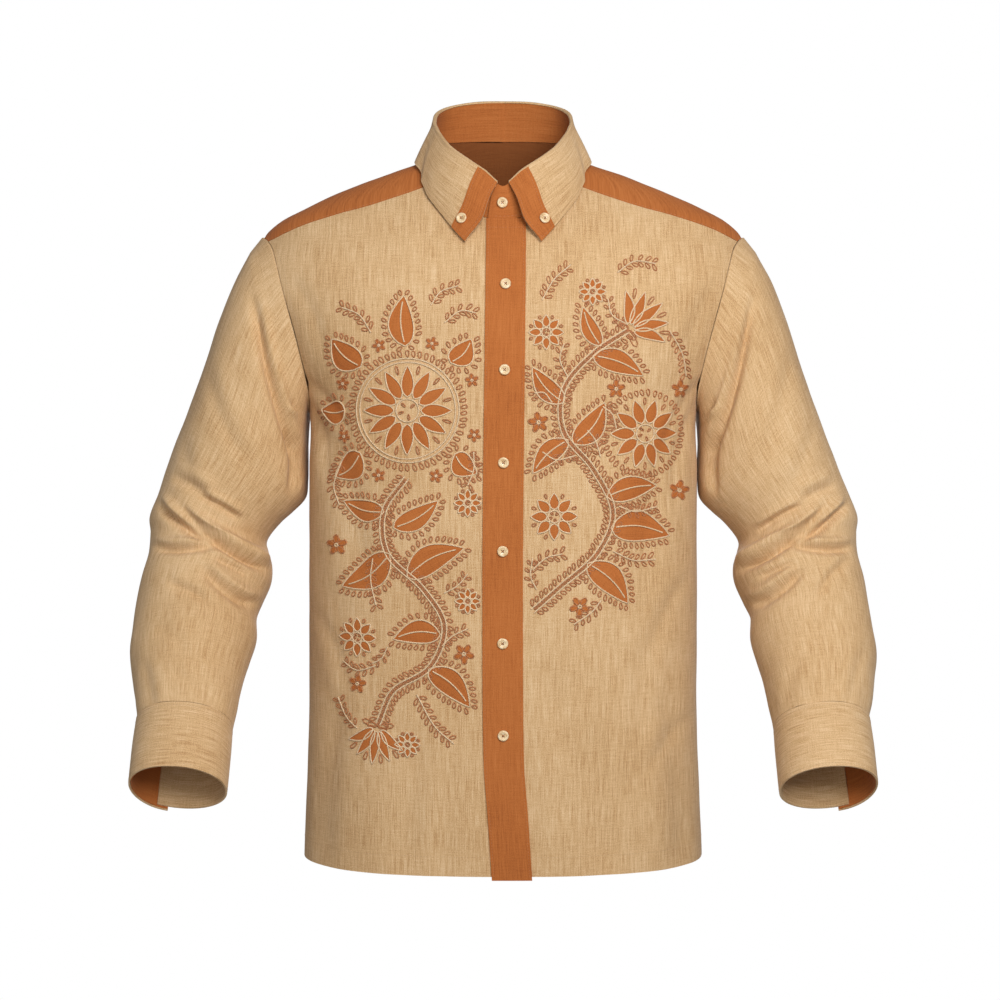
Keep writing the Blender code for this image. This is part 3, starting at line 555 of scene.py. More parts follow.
class Graph:
    def __init__(self, name):
        self.material = bpy.data.materials.new(name)
        self.material.use_nodes = True
        self.nodes = self.material.node_tree.nodes
        self.links = self.material.node_tree.links
        self.shader = self.nodes["Principled BSDF"]

    def node(self, kind, settings=None, values=(), output=0):
        added = self.nodes.new(kind)
        for key, value in (settings or {}).items():
            if key == "stops":
                ramp = added.color_ramp
                while len(ramp.elements) < len(value):
                    ramp.elements.new(0.5)
                for element, (place, colour) in zip(ramp.elements, value):
                    element.position = place
                    element.color = colour
            else:
                setattr(added, key, value)
        pairs = values.items() if isinstance(values, dict) else enumerate(values)
        for key, value in pairs:
            if isinstance(value, Wire):
                self.links.new(value.socket, added.inputs[key])
            else:
                added.inputs[key].default_value = value
        return Wire(self, added.outputs[output])

    def feed(self, key, wire):
        self.links.new(wire.socket, self.shader.inputs[key])

    def noise(self, vector, scale, detail=2.0, roughness=0.5):
        values = {"Vector": vector, "Scale": scale, "Detail": detail, "Roughness": roughness}
        return self.node("ShaderNodeTexNoise", {"noise_dimensions": "3D"}, values)

    def smooth(self, value, low, high):
        settings = {"interpolation_type": "SMOOTHSTEP"}
        return self.node("ShaderNodeMapRange", settings, (value, low, high, 0.0, 1.0))

    def settle(self, **values):
        for key, value in values.items():
            self.shader.inputs[key.replace("_", " ")].default_value = value

    def mix(self, share, first, second):
        settings = {"data_type": "RGBA"}
        return self.node("ShaderNodeMix", settings, {0: share, 6: first, 7: second}, 2)


def weaveVector(graph, acrossScale, alongScale, lift=0.0):
    place = graph.node("ShaderNodeUVMap", {}, ())
    values = {0: place, 1: (lift, lift * 1.7, lift), 3: (acrossScale, alongScale, 1.0)}
    return graph.node("ShaderNodeMapping", {}, values)


linen = {
    "pale": (0.78, 0.555, 0.325, 1.0),
    "middle": (0.635, 0.405, 0.200, 1.0),
    "dark": (0.45, 0.246, 0.100, 1.0),
    "roughness": 0.88,
    "sheen": 0.10,
}
rustLinen = {
    "pale": (0.56, 0.190, 0.050, 1.0),
    "middle": (0.46, 0.138, 0.030, 1.0),
    "dark": (0.29, 0.076, 0.016, 1.0),
    "roughness": 0.86,
    "sheen": 0.04,
}


def woven(name, tones, streak, depth):
    graph = Graph(name)
    # long slubs along the thread, shorter ones across it, and a fine speckle
    slub = graph.noise(weaveVector(graph, 1000, 38), 1.0, 2.0, 0.6)
    broad = graph.noise(weaveVector(graph, 300, 14, 3.0), 1.0, 1.5)
    cross = graph.noise(weaveVector(graph, 50, 800, 5.0), 1.0, 1.5, 0.6)
    speckle = graph.noise(weaveVector(graph, 1100, 900, 9.0), 1.0, 1.0)
    dusk = graph.noise(graph.node("ShaderNodeTexCoord", {}, (), 3), 9.0, 2.0)
    tone = 0.5 + (slub - 0.5) * (1.1 * streak) + (broad - 0.5) * (0.35 * streak)
    tone = tone + (cross - 0.5) * (0.4 * streak) + (speckle - 0.5) * (0.9 * streak) + (dusk - 0.5) * 0.45
    stops = [(0.15, tones["dark"]), (0.48, tones["middle"]), (0.85, tones["pale"])]
    colour = graph.node("ShaderNodeValToRGB", {"stops": stops}, (tone,))
    graph.feed("Base Color", colour)
    relief = slub * 0.6 + cross * 0.35 + speckle * 0.5
    bump = graph.node("ShaderNodeBump", {}, {"Strength": 0.6, "Distance": depth, "Height": relief})
    graph.feed("Normal", bump)
    graph.settle(Roughness=tones["roughness"], Specular_IOR_Level=0.25)
    graph.settle(Sheen_Weight=tones["sheen"], Sheen_Roughness=0.5)
    return graph.material


def thread(name, light, dark, roughness, across):
    graph = Graph(name)
    place = graph.node("ShaderNodeTexCoord", {}, (), 3)
    grain = graph.noise(place, across, 2.0, 0.6)
    graph.feed("Base Color", graph.mix(graph.smooth(grain, 0.3, 0.7), dark, light))
    bump = graph.node("ShaderNodeBump", {}, {"Strength": 0.5, "Distance": 0.0003, "Height": grain})
    graph.feed("Normal", bump)
    graph.settle(Roughness=roughness, Sheen_Weight=0.1)
    return graph.material


# painted shade: the yoke's inner face gets this darker rust to stand in for the shade deep inside the neck
yokeInnerShade = {
    "pale": (0.30, 0.100, 0.028, 1.0),
    "middle": (0.23, 0.070, 0.017, 1.0),
    "dark": (0.15, 0.040, 0.010, 1.0),
    "roughness": 0.9,
    "sheen": 0.02,
}
strawCloth = woven("straw linen", linen, 1.0, 0.0005)
rustCloth = woven("rust linen", rustLinen, 0.62, 0.0004)
shadeInsideCloth = woven("dark rust linen", yokeInnerShade, 0.5, 0.0004)
creamCord = thread("cream cord", (0.82, 0.62, 0.40, 1.0), (0.60, 0.40, 0.22, 1.0), 0.6, 900.0)
rustThread = thread("rust thread", (0.53, 0.215, 0.080, 1.0), (0.36, 0.118, 0.034, 1.0), 0.6, 800.0)
strawThread = thread("straw sewing thread", (0.60, 0.39, 0.21, 1.0), (0.42, 0.25, 0.12, 1.0), 0.7, 900.0)
straw = {"slot": "straw_linen", "paints": [strawCloth]}
rust = {"slot": "rust_linen", "paints": [rustCloth]}
# the yoke's inner face takes the darker rust, which is painted shade
yokeRustShadedInside = {"slot": "rust_linen", "paints": [rustCloth, shadeInsideCloth]}
print("materials made")

# fronts, back and yoke

fronts = {"leftNeckShare": 5 / 13, "rightNeckShare": 7 / 15, "crowding": 1.7, "grid": (112, 250)}
backPanel = {"grid": (120, 156)}
yokePiece = {"grid": (190, 44), "shoulderShare": 5 / 15}
neckHair = 0.0001


def yokeSeamPlace(share):
    row = share * (len(yokeSeam) - 1)
    distance, height = (curveValue([place[axis] for place in yokeSeam], row) for axis in range(2))
    if share < 1:
        return bodyAngle(distance, height), height
    height = armholeHeight(armhole["frontTurn"])
    return armholeAngle(height, False), height


def frontEdge(height, side):
    middle = tableRow(placketLine, height)[0] * side
    return middle + (body["overFrontSetback"] if side > 0 else -body["underFrontReach"])


def frontSurface(side, seamShare):
    neckStart = neckRow(frontEdge(neckSeam[0][1], side))

    def top(across):
        if across < seamShare:
            angle, height = neckPlace(neckStart + (yokeRow - neckStart) * across / seamShare)
            return angle, height - neckHair
        share = (across - seamShare) / (1 - seamShare)
        angle, height = yokeSeamPlace(share ** fronts["crowding"])
        return angle, height - body["seamGap"] / 2

    def middleAngle(height):
        return bodyAngle(frontEdge(height, side), height)

    def surface(across, up):
        toSide = across if side > 0 else 1 - across
        angle, height = panelPlace(toSide, up, armhole["frontTurn"], middleAngle, top, False)
        point, normal = bodySurface(angle * side, height)
        return point, normal, threadPlace(angle * side, height)

    return surface


def backSeamHeight(angle):
    sideHeight = armholeHeight(armhole["backTurn"])
    spread = (angle - math.pi) / (armholeAngle(sideHeight, True) - math.pi)
    return body["backYokeMiddle"] + (sideHeight - body["backYokeMiddle"]) * spread**2


def backSurface():
    sideTop = armholeAngle(armholeHeight(armhole["backTurn"]), True)

    def top(toSide):
        angle = math.pi + (sideTop - math.pi) * toSide
        return angle, backSeamHeight(angle) - body["seamGap"] / 2

    def surface(across, up):
        turn = 2 * across - 1
        angle, height = panelPlace(abs(turn), up, armhole["backTurn"], lambda _: math.pi, top, True)
        if turn > 0:
            angle = 2 * math.pi - angle
        point, normal = bodySurface(angle, height)
        return point, normal, backThreadPlace(angle, height)

    return surface


def yokeSurface():
    cornerShare = yokePiece["shoulderShare"]

    def outer(across):
        share = min(across / cornerShare, 1)
        turn = share * (armhole["frontTurn"] + armhole["backTurn"]) - armhole["frontTurn"]
        height = armholeHeight(turn)
        angle = armholeAngle(height, turn > 0)
        if across > cornerShare:
            angle += (math.pi - angle) * (across - cornerShare) / (1 - cornerShare)
            height = backSeamHeight(angle)
        return bodyForm(angle, height)

    def inner(across):
        angle, height = neckPlace(yokeRow + (neckLast - yokeRow) * across)
        return bodyForm(angle, height - neckHair)

    def front(up):
        return bodyForm(*yokeSeamPlace(1 - up))

    backLow, backHigh = outer(1).z, inner(1).z
    corners = [outer(0), outer(1), inner(0), inner(1)]

    def surface(across, up):
        turn = 2 * across - 1
        share, up = 1 - abs(turn), 1 - (1 - up) ** fronts["crowding"]
        low, high, near = outer(share), inner(share), front(up)
        far = bodyForm(math.pi, backLow + (backHigh - backLow) * up)
        toFront = (1 - share) ** 3
        place = low * (1 - up) + high * up + toFront * (near - corners[0] * (1 - up) - corners[2] * up)
        place += (1 - toFront) * (far - corners[1] * (1 - up) - corners[3] * up)
        halfWidth, depth, _ = bodySection(place.z, place.y > 0)
        angle = math.atan2(place.x / halfWidth, -place.y / depth)
        side = -1 if turn > 0 else 1
        point, normal = bodySurface(angle * side, place.z)
        return point, normal, (point.y - point.z, point.x)

    return surface


leftFace = frontSurface(1, fronts["leftNeckShare"])
rightFace = frontSurface(-1, fronts["rightNeckShare"])
yokeFace = yokeSurface()
sewn("leftFront", "front_left", leftFace, sized(*fronts["grid"]), straw, (0.30, 0.74))
sewn("rightFront", "front_right", rightFace, sized(*fronts["grid"]), straw, (0.32, 0.74))
sewn("back", "back", backSurface(), sized(*backPanel["grid"]), straw, (0.58, 0.68))
# the yoke's inner face carries painted shade
sewn("yoke", "yoke", yokeFace, sized(*yokePiece["grid"]), yokeRustShadedInside, (0.56, 0.17))
print("fronts, back and yoke made")

# placket

placket = {"width": 0.0412, "top": -0.0590, "drop": 0.0035, "grid": (18, 280)}
placketLift = body["seamGap"] + body["thickness"]


def placketSurface(across, up):
    low = body["hem"] - placket["drop"]
    height = low + (placket["top"] - low) * up
    distance = tableRow(placketLine, height)[0] + (across - 0.5) * placket["width"]
    point, normal = bodySurface(bodyAngle(distance, height), height)
    return point + normal * placketLift, normal, ((across - 0.5) * placket["width"], height)


sewn("placket", "placket", placketSurface, sized(*placket["grid"]), rust, (0.0412, 0.68))

# collar

collar = {
    "thickness": 0.0016,
    "trim": 0.0009,
    "roll": 0.0024,
    "start": 0.31,
    "clearance": 0.0034,
    "crown": 0.0035,
    "sideHollow": 0.0008,
    "sideClearance": 0.0026,
    "sideRow": 6.5,
    "sideReach": 3.0,
    "endBow": 0.0050,
    "bowRows": 3,
    "grid": (220, 44),
    "rollShare": 0.3,
    "bandRows": 1.02,
    "bandRise": 0.72,
    "bandGrid": (12, 40),
}
collarStand = {
    "grid": (220, 14),
    "underReach": 0.42,
    "overReach": 0.52,
    "underStart": 0.045,
    "underRun": 0.03,
    "endRound": 0.4,
    "roundFrom": 0.965,
    "bulge": 0.001,
}


def rimPlace(row):
    def at(place):
        return Vector([curveValue(values, place + 2) for values in rimColumns])

    spot, run = at(row), at(row + 0.05) - at(row - 0.05)
    return spot, Vector((run.y, -run.x, 0)).normalized()


def standForm(turn, up):
    row = neckLast - (neckLast + collarStand["underReach" if turn < 0 else "overReach"]) * abs(turn)
    rim, out = rimPlace(row)
    gap = body["seamGap"]
    foot = bodyForm(*neckPlace(row)) + Vector((0, 0, gap))
    head = rim - out * (2 * collar["roll"] - body["thickness"]) - Vector((0, 0, gap))
    side = 1 if turn > 0 else -1
    under = 0.0
    if side < 0:
        start, run = collarStand["underStart"], collarStand["underRun"]
        under = ease((start - foot.x) / run) * (body["thickness"] + 3 * gap)
    atEnd = max(0.0, (abs(turn) - collarStand["roundFrom"]) / (1 - collarStand["roundFrom"]))
    point = foot.lerp(head, up * (1 - collarStand["endRound"] * atEnd**2))
    point += out * (collarStand["bulge"] * math.sin(math.pi * up) - under)
    return onSide(point, side), onSide(out, side)


def standSurface(across, up):
    turn = 1 - 2 * across
    point, out = standForm(turn, up)
    return point, out, (up * 0.035, turn * 0.24)


def collarForm(across, up):
    turn, down = 1 - 2 * across, 1 - up
    last = len(collarRim) - 1
    place = last * (1 - abs(turn))
    rim, out = rimPlace(collar["start"] + (last - collar["start"]) * place / last)
    side = 1 if turn > 0 else -1
    if down < collar["rollShare"]:
        swing = math.pi * (1 - down / collar["rollShare"])
        point = rim + out * collar["roll"] * (math.cos(swing) - 1)
        point.z += collar["roll"] * math.sin(swing)
    else:
        drop = (down - collar["rollShare"]) / (1 - collar["rollShare"])
        angle, height = curveValue(edgeAngles, place + 2), curveValue(edgeHeights, place + 2)
        atSide = max(0.0, 1 - abs(place - collar["sideRow"]) / collar["sideReach"])
        clearance = collar["clearance"] + collar["sideClearance"] * atSide
        foot = bodyForm(angle, height) + outward(bodyForm, angle, height) * clearance
        crown = collar["crown"] - (collar["crown"] + collar["sideHollow"]) * atSide
        point = rim.lerp(foot, drop) + out * crown * math.sin(math.pi * drop)
        bow = collar["endBow"] * max(0.0, 1 - place / collar["bowRows"]) ** 1.5
        point.x -= bow * math.sin(math.pi * drop**1.5) ** 2
    return onSide(point, side)


def collarSurface(across, up):
    point, normal = raised(collarForm, across, up)
    soft = 0.0005 * wavering(point, 0.03, 4.4)
    return point + normal * soft, normal, (up * 0.085, (across - 0.5) * 0.44)


def bandSurface(across, up):
    reach = 0.5 * collar["bandRows"] / (len(collarRim) - 1)
    point, normal = raised(collarForm, reach * across, collar["bandRise"] * up)
    return point + normal * (2 * body["seamGap"] + collar["trim"]), normal, (across * 0.018, up * 0.075)


columns, rows = collarStand["grid"]
sewn("collarStand", "collar_stand", standSurface, (*sized(columns), rows), rust, (0.52, 0.042))
grid, thickness = sized(*collar["grid"]), collar["thickness"]
sewn("collarLeaf", "collar_fall", collarSurface, grid, straw, (0.50, 0.09), thickness)
for sideName, side in (("left", 1), ("right", -1)):
    node, surface, grid = "collar_band_" + sideName, placed(bandSurface, side), collar["bandGrid"]
    sewn(sideName + "CollarBand", node, surface, grid, rust, (0.019, 0.075), collar["trim"])
print("placket and collar made")

# sleeves and cuffs

# sections from the armhole down: outer x, outer z, inner x, inner z, middle y, half depth, lean in degrees
sleeveSections = [
    (0.2724, -0.0884, 0.2112, -0.3003, 0.002, 0.0700, 0),
    (0.2893, -0.1210, 0.2106, -0.3196, -0.001, 0.0710, 0),
    (0.3063, -0.1642, 0.2104, -0.3368, -0.003, 0.0720, 1),
    (0.3233, -0.2182, 0.2122, -0.3540, -0.005, 0.0730, 2),
    (0.3404, -0.2677, 0.2262, -0.3690, -0.006, 0.0730, 3),
    (0.3564, -0.3108, 0.2391, -0.3808, -0.007, 0.0710, 5),
    (0.3700, -0.3494, 0.2527, -0.3989, -0.010, 0.0665, 8),
    (0.3786, -0.3750, 0.2514, -0.4105, -0.014, 0.0640, 13),
    (0.3765, -0.3928, 0.2469, -0.4249, -0.020, 0.0630, 18),
    (0.3766, -0.4146, 0.2475, -0.4402, -0.029, 0.0620, 24),
    (0.3823, -0.4413, 0.2549, -0.4583, -0.040, 0.0610, 28),
    (0.3867, -0.4719, 0.2610, -0.4751, -0.052, 0.0600, 31),
    (0.3889, -0.4959, 0.2596, -0.4959, -0.064, 0.0590, 33),
    (0.3901, -0.5154, 0.2641, -0.5154, -0.076, 0.0570, 34),
    (0.3860, -0.5385, 0.2702, -0.5385, -0.091, 0.0540, 35),
    (0.3808, -0.5611, 0.2740, -0.5611, -0.107, 0.0505, 37),
    (0.3750, -0.5777, 0.2775, -0.5818, -0.120, 0.0470, 38),
]
cuffEnd = (0.3755, -0.6341, 0.2778, -0.6392, -0.165, 0.0455, 38)

sleeve = {"grid": (160, 230), "gap": 0.0006, "seamStep": 0.0016, "closer": 0.62, "looser": 1.52}
cuff = {
    "thickness": 0.0018,
    "trim": 0.0009,
    "overEnd": math.radians(-72),
    "underEnd": math.radians(-58),
    "riseStart": math.radians(50),
    "facingShare": 9 / 28,
    "overRise": 0.0034,
    "overDrop": 0.003,
    "tuck": 0.003,
    "tuckFade": 0.14,
    "slitRows": 5.2,
    "slitWidth": 0.024,
}

# creases of the sleeves, for each side and for the front and the back, as for the body
sleeveFront = [
    (0.3330, -0.3680, 0.2480, -0.4290, -0.002, 0.0046, 0.0105, 0.75),
    (0.3620, -0.3600, 0.3080, -0.3960, -0.002, 0.0044, 0.0090, 0.75),
    (0.3620, -0.4040, 0.3000, -0.3990, -0.002, 0.0042, 0.0065, 0.65),
    (0.3100, -0.4250, 0.2600, -0.4650, -0.002, 0.0046, 0.0075, 0.65),
    (0.2620, -0.1500, 0.2165, -0.3080, -0.004, 0.0048, 0.0095, 0.65),
    (0.2215, -0.2900, 0.2235, -0.3450, 0.002, 0.0042, 0.0060, 0.50),
    (0.2060, -0.2650, 0.2240, -0.2505, 0.002, 0.0028, 0.0090, 0.80),
]
leftExtra = [
    (0.3110, -0.3590, 0.2720, -0.3840, 0.002, 0.0038, 0.0052, 0.6),
    (0.3070, -0.4170, 0.2700, -0.4330, 0.001, 0.0034, 0.0034, 0.5),
    (0.3600, -0.4150, 0.3250, -0.4500, 0.003, 0.0046, 0.0034, 0.5),
    (0.3500, -0.3380, 0.3150, -0.3520, 0.001, 0.0060, 0.0040, 0.5),
    (0.3050, -0.2000, 0.2600, -0.3300, -0.006, 0.0090, 0.0020, 0.4),
    (0.3300, -0.2700, 0.3000, -0.3400, -0.003, 0.0080, 0.0015, 0.4),
    (0.3450, -0.5300, 0.3000, -0.5650, 0.002, 0.0050, 0.0015, 0.5),
    (0.3050, -0.5050, 0.2850, -0.5600, 0.002, 0.0060, 0.0014, 0.5),
    (0.3750, -0.5000, 0.3500, -0.5550, 0.002, 0.0060, 0.0012, 0.5),
    (0.3480, -0.4700, 0.3100, -0.5000, 0.003, 0.0070, 0.0012, 0.4),
]
rightExtra = [
    (0.3160, -0.3500, 0.2780, -0.3720, 0.002, 0.0038, 0.0054, 0.6),
    (0.3000, -0.4120, 0.2680, -0.4310, 0.001, 0.0034, 0.0036, 0.5),
    (0.3450, -0.4380, 0.3050, -0.4560, 0.002, 0.0044, 0.0034, 0.5),
    (0.3460, -0.3300, 0.3080, -0.3480, 0.001, 0.0060, 0.0042, 0.5),
    (0.3120, -0.2200, 0.2700, -0.3100, -0.005, 0.0080, 0.0020, 0.4),
    (0.3380, -0.2900, 0.3150, -0.3600, -0.004, 0.0080, 0.0017, 0.4),
    (0.3350, -0.5250, 0.3000, -0.5450, 0.002, 0.0045, 0.0015, 0.5),
    (0.3150, -0.5150, 0.2900, -0.5650, 0.002, 0.0050, 0.0013, 0.5),
    (0.3700, -0.5150, 0.3550, -0.5600, 0.002, 0.0060, 0.0013, 0.5),
    (0.3550, -0.4850, 0.3250, -0.5000, 0.003, 0.0060, 0.0012, 0.4),
]
sleeveBack = [
    (0.3600, -0.3900, 0.2550, -0.4200, -0.005, 0.0110, 0.0045, 0.35),
    (0.3650, -0.4300, 0.2800, -0.4450, -0.003, 0.0110, 0.0035, 0.35),
    (0.2640, -0.1700, 0.2250, -0.2900, -0.005, 0.0100, 0.0040, 0.35),
    (0.3500, -0.3600, 0.2900, -0.3800, -0.003, 0.0080, 0.0020, 0.5),
    (0.3400, -0.5200, 0.3100, -0.5600, 0.002, 0.0060, 0.0014, 0.5),
    (0.3200, -0.2400, 0.2700, -0.3200, -0.004, 0.0090, 0.0018, 0.4),
]


def ringPoint(row, turn, grow=0.0):
    outerX, outerZ, innerX, innerZ, middleY, halfDepth, lean = row
    lean = math.radians(lean)
    outer, inner = Vector((outerX, middleY, outerZ)), Vector((innerX, middleY, innerZ))
    middle, reach = (outer + inner) / 2, (outer - inner) / 2
    ahead = Vector((0, -math.cos(lean), math.sin(lean)))
    side, front = math.cos(turn), math.sin(turn)
    power = armhole["squareness"]
    share = (abs(side) ** power + abs(front) ** power) ** (-1 / power)
    halfWidth = reach.length
    point = middle + reach / halfWidth * (halfWidth + grow) * share * side
    return point + ahead * (halfDepth + grow) * share * front


sleeveColumns = list(zip(*sleeveSections))
sleeveLast = len(sleeveSections) - 1


def sleeveForm(turn, along):
    height = armholeHeight(turn)
    start = Vector((armholeDistance(height), -math.copysign(armholeDepth(height), math.sin(turn)), height))
    start.x += sleeve["gap"]
    if along < -1:
        return start + Vector((sleeve["seamStep"] * (along + 2), 0, 0))
    start.x += sleeve["seamStep"]
    if along < 0:
        return start.lerp(ringPoint(sleeveSections[0], turn), along + 1)
    return ringPoint([curveValue(column, along) for column in sleeveColumns], turn)


def sleevePoint(turn, along, creases=(sleeveFront, sleeveBack), seed=0.0):
    point = sleeveForm(turn, along)
    around = sleeveForm(turn + 0.006, along) - sleeveForm(turn - 0.006, along)
    down = sleeveForm(turn, max(along, -0.95) + 0.03) - sleeveForm(turn, max(along - 0.03, -1.0))
    normal = around.cross(down).normalized()
    atBack = math.sin(turn) < 0
    facing = ease(abs(math.sin(turn)) / 0.6) * ease((along + 1) / 2)
    push = creasePush(creases[1] if atBack else creases[0], point.x, point.z) * facing
    loose = ease((along + 1) / 1.5) * ease((sleeveLast - along) / 1.2)
    uneven = 0.0016 * wavering(point, 0.055, seed + 1.3) + 0.0006 * wavering(point, 0.02, seed + 8.1)
    push += uneven * loose
    gathered = ease((along - sleeveLast + 2.2) / 2) * (0.5 + 0.5 * math.cos(turn * 9 + seed)) * 0.0009
    # the end goes on inside the cuff where the cuff rises to its lap
    tuck = ease((cuff["riseStart"] - turn) / (cuff["riseStart"] - cuff["underEnd"]))
    fade = ease((turn - cuff["underEnd"]) / cuff["tuckFade"])
    tuck *= cuff["tuck"] * fade * ease((along - sleeveLast + 0.3) / 0.3)
    point += down.normalized() * tuck
    return point - normal * (push + gathered * ease((sleeveLast - along) / 0.4)), normal


def sleeveSurface(creases, seed):
    def surface(across, up):
        # rows lie closer at the elbow, where the creases are
        turn, spread = math.pi * (2 * across - 1), up - 0.5
        share = 0.5 + spread * (sleeve["closer"] + sleeve["looser"] * spread * spread)
        along = share * (sleeveLast + 2) - 2
        point, normal = sleevePoint(turn, along, creases, seed)
        return point, normal, (turn * 0.066, -(along + 2) * 0.031)

    return surface


def cuffPoint(turn, down):
    start, end = sleeveSections[-1], cuffEnd
    gapShare = body["seamGap"] / 0.07
    share = gapShare + (1 - gapShare) * down
    row = [first + (last - first) * share for first, last in zip(start, end)]
    over = ease((cuff["riseStart"] - turn) / (cuff["riseStart"] - cuff["underEnd"]))
    grow = over * cuff["overRise"] + 0.0006 * math.sin(math.pi * down)
    axis = Vector((0, end[4] - start[4], end[1] - start[1])).normalized()
    drop = axis * cuff["overDrop"] * ease(-turn / 1.2) * down
    point = ringPoint(row, turn, grow) + drop
    return point, (ringPoint(row, turn, grow + 0.001) + drop - point) * 1000


def cuffSurface(across, up):
    first, last = cuff["overEnd"], 2 * math.pi + cuff["underEnd"]
    turn = first + (last - first) * across
    point, normal = cuffPoint(turn, up)
    point = point - normal * 0.0004 * wavering(point, 0.025, 2.2) * math.sin(math.pi * up)
    return point, normal, (up * 0.072, turn * 0.052)


def facingSurface(across, up):
    wholeTurn = 2 * math.pi + cuff["underEnd"] - cuff["overEnd"]
    first, last = cuff["overEnd"] + 0.01, cuff["overEnd"] + wholeTurn * cuff["facingShare"]
    turn = first + (last - first) * across
    point, normal = cuffPoint(turn, 0.02 + 0.965 * up)
    return point - normal * (cuff["thickness"] + body["seamGap"]), normal, (up * 0.07, turn * 0.052)


def slitSurface(across, up):
    along = sleeveLast - 0.02 - cuff["slitRows"] * (1 - up)
    turn = (cuff["overEnd"] + cuff["underEnd"]) / 2 + (2 * across - 1) * cuff["slitWidth"] / 0.112
    point, normal = sleevePoint(turn, along)
    return point + normal * (2 * body["seamGap"] + cuff["trim"]), normal, (across * 0.024, up * 0.115)


for sideName, side, extra, seed in (("left", 1, leftExtra, 0.0), ("right", -1, rightExtra, 5.3)):
    surface = placed(sleeveSurface((sleeveFront + extra, sleeveBack), seed), side)
    name, node, grid = sideName + "Sleeve", "sleeve_" + sideName, sized(*sleeve["grid"])
    sewn(name, node, surface, grid, straw, (0.44, 0.58), joined=True)
    for part, node, surface, grid, linenKind, flat, thickness in (
        ("Cuff", "cuff_", cuffSurface, (150, 26), straw, (0.33, 0.072), cuff["thickness"]),
        ("CuffFacing", "cuff_facing_", facingSurface, (50, 20), rust, (0.10, 0.07), cuff["trim"]),
        ("SlitBand", "sleeve_placket_", slitSurface, (16, 70), straw, (0.024, 0.115), cuff["trim"]),
    ):
        surface = placed(surface, side)
        sewn(sideName + part, node + sideName, surface, sized(*grid), linenKind, flat, thickness)
print("sleeves and cuffs made")

# threads: sewing, cords and loops run along paths of points


def threadWork(name, paths, radius, paint, sides=1):
    line = bpy.data.curves.new(name, "CURVE")
    line.dimensions = "3D"
    line.bevel_depth = radius
    line.bevel_resolution = sides
    line.use_fill_caps = True
    for points, closed in paths:
        spline = line.splines.new("POLY")
        spline.points.add(len(points) - 1)
        for knot, point in zip(spline.points, points):
            knot.co = (*point, 1.0)
        spline.use_cyclic_u = closed
    holder = bpy.data.objects.new(name + "Line", line)
    bpy.context.scene.collection.objects.link(holder)
    shown = holder.evaluated_get(bpy.context.evaluated_depsgraph_get())
    mesh = bpy.data.meshes.new_from_object(shown)
    bpy.data.objects.remove(holder)
    mesh.name = name
    mesh.shade_smooth()
    mesh.materials.clear()
    mesh.materials.append(paint)
    piece = bpy.data.objects.new(name, mesh)
    bpy.context.scene.collection.objects.link(piece)
    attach(piece, "root")
    return piece


sewing = {"length": 0.0021, "gap": 0.0011, "radius": 0.00022, "sink": 0.00005}


def runningStitches(place, start, end, length):
    # stitches along place(share), which gives a point and its normal first
    count = max(2, int(length / (sewing["length"] + sewing["gap"])))
    found = []
    for number in range(count):
        middle = start + (end - start) * (number + 0.5) / count
        half = (end - start) / count * sewing["length"] / (sewing["length"] + sewing["gap"]) / 2
        points = []
        for share, sink in ((middle - half, 1.0), (middle, 0.0), (middle + half, 1.0)):
            point, normal = place(share)[:2]
            lift = sewing["radius"] * 0.4 - sink * (sewing["sink"] + sewing["radius"])
            points.append(point + normal * lift)
        found.append((points, False))
    return found


def seamUp(surface, across, start, end, length):
    return runningStitches(lambda share: surface(across, share), start, end, length)


def seamAcross(surface, up, start, end, length):
    return runningStitches(lambda share: surface(share, up), start, end, length)


rustStitches, strawStitches = [], []
for edge in (0.055, 0.945):
    rustStitches += seamUp(placketSurface, edge, 0.004, 0.99, 0.68)
rustStitches += seamAcross(placketSurface, 0.985, 0.06, 0.94, 0.038)
for side in (1, -1):
    face = placed(bandSurface, side)
    for edge in (0.12, 0.88):
        rustStitches += seamUp(face, edge, 0.03, 0.97, 0.068)
    rustStitches += seamAcross(face, 0.035, 0.1, 0.9, 0.014)
strawStitches += seamAcross(collarSurface, 0.045, 0.065, 0.935, 0.40)
rustStitches += seamAcross(standSurface, 0.07, 0.01, 0.99, 0.47)
rustStitches += seamAcross(yokeFace, 0.03, 0.20, 0.80, 0.46)
for edge in (0.004, 0.996):
    rustStitches += seamUp(yokeFace, edge, 0.05, 0.97, 0.19)


def hemPlace(share):
    return bodySurface(2 * math.pi * share, body["hem"] + 0.020)


def awayFromPlacket(paths, halfWidth):
    kept = []
    for points, closed in paths:
        middle = points[len(points) // 2]
        ahead = middle.y < 0 and abs(middle.x - tableRow(placketLine, middle.z)[0]) < halfWidth
        if not ahead:
            kept.append((points, closed))
    return kept


strawStitches += awayFromPlacket(runningStitches(hemPlace, 0, 1, 1.26), 0.0225)
for side in (1, -1):
    def armholeStitch(turn):
        height = armholeHeight(turn)
        atBack = math.sin(turn) < 0
        spread = 0.0065 / (body["lowerShare"] * 0.26)
        angle = armholeAngle(height, atBack) + (spread if atBack else -spread)
        return bodySurface(angle * side, height)

    first, last = armhole["frontTurn"] * 1.15, math.pi - 0.35
    strawStitches += runningStitches(armholeStitch, first, last, 0.20)
    strawStitches += runningStitches(armholeStitch, -last, -armhole["backTurn"] * 1.05, 0.17)
    for up in (0.055, 0.95):
        strawStitches += seamAcross(placed(cuffSurface, side), up, 0.02, 0.98, 0.31)
    for across in (0.1, 0.9):
        strawStitches += seamUp(placed(slitSurface, side), across, 0.02, 0.98, 0.11)
threadWork("rustSewing", rustStitches, sewing["radius"], rustThread, 0)
threadWork("strawSewing", strawStitches, sewing["radius"], strawThread, 0)
print("sewing made")
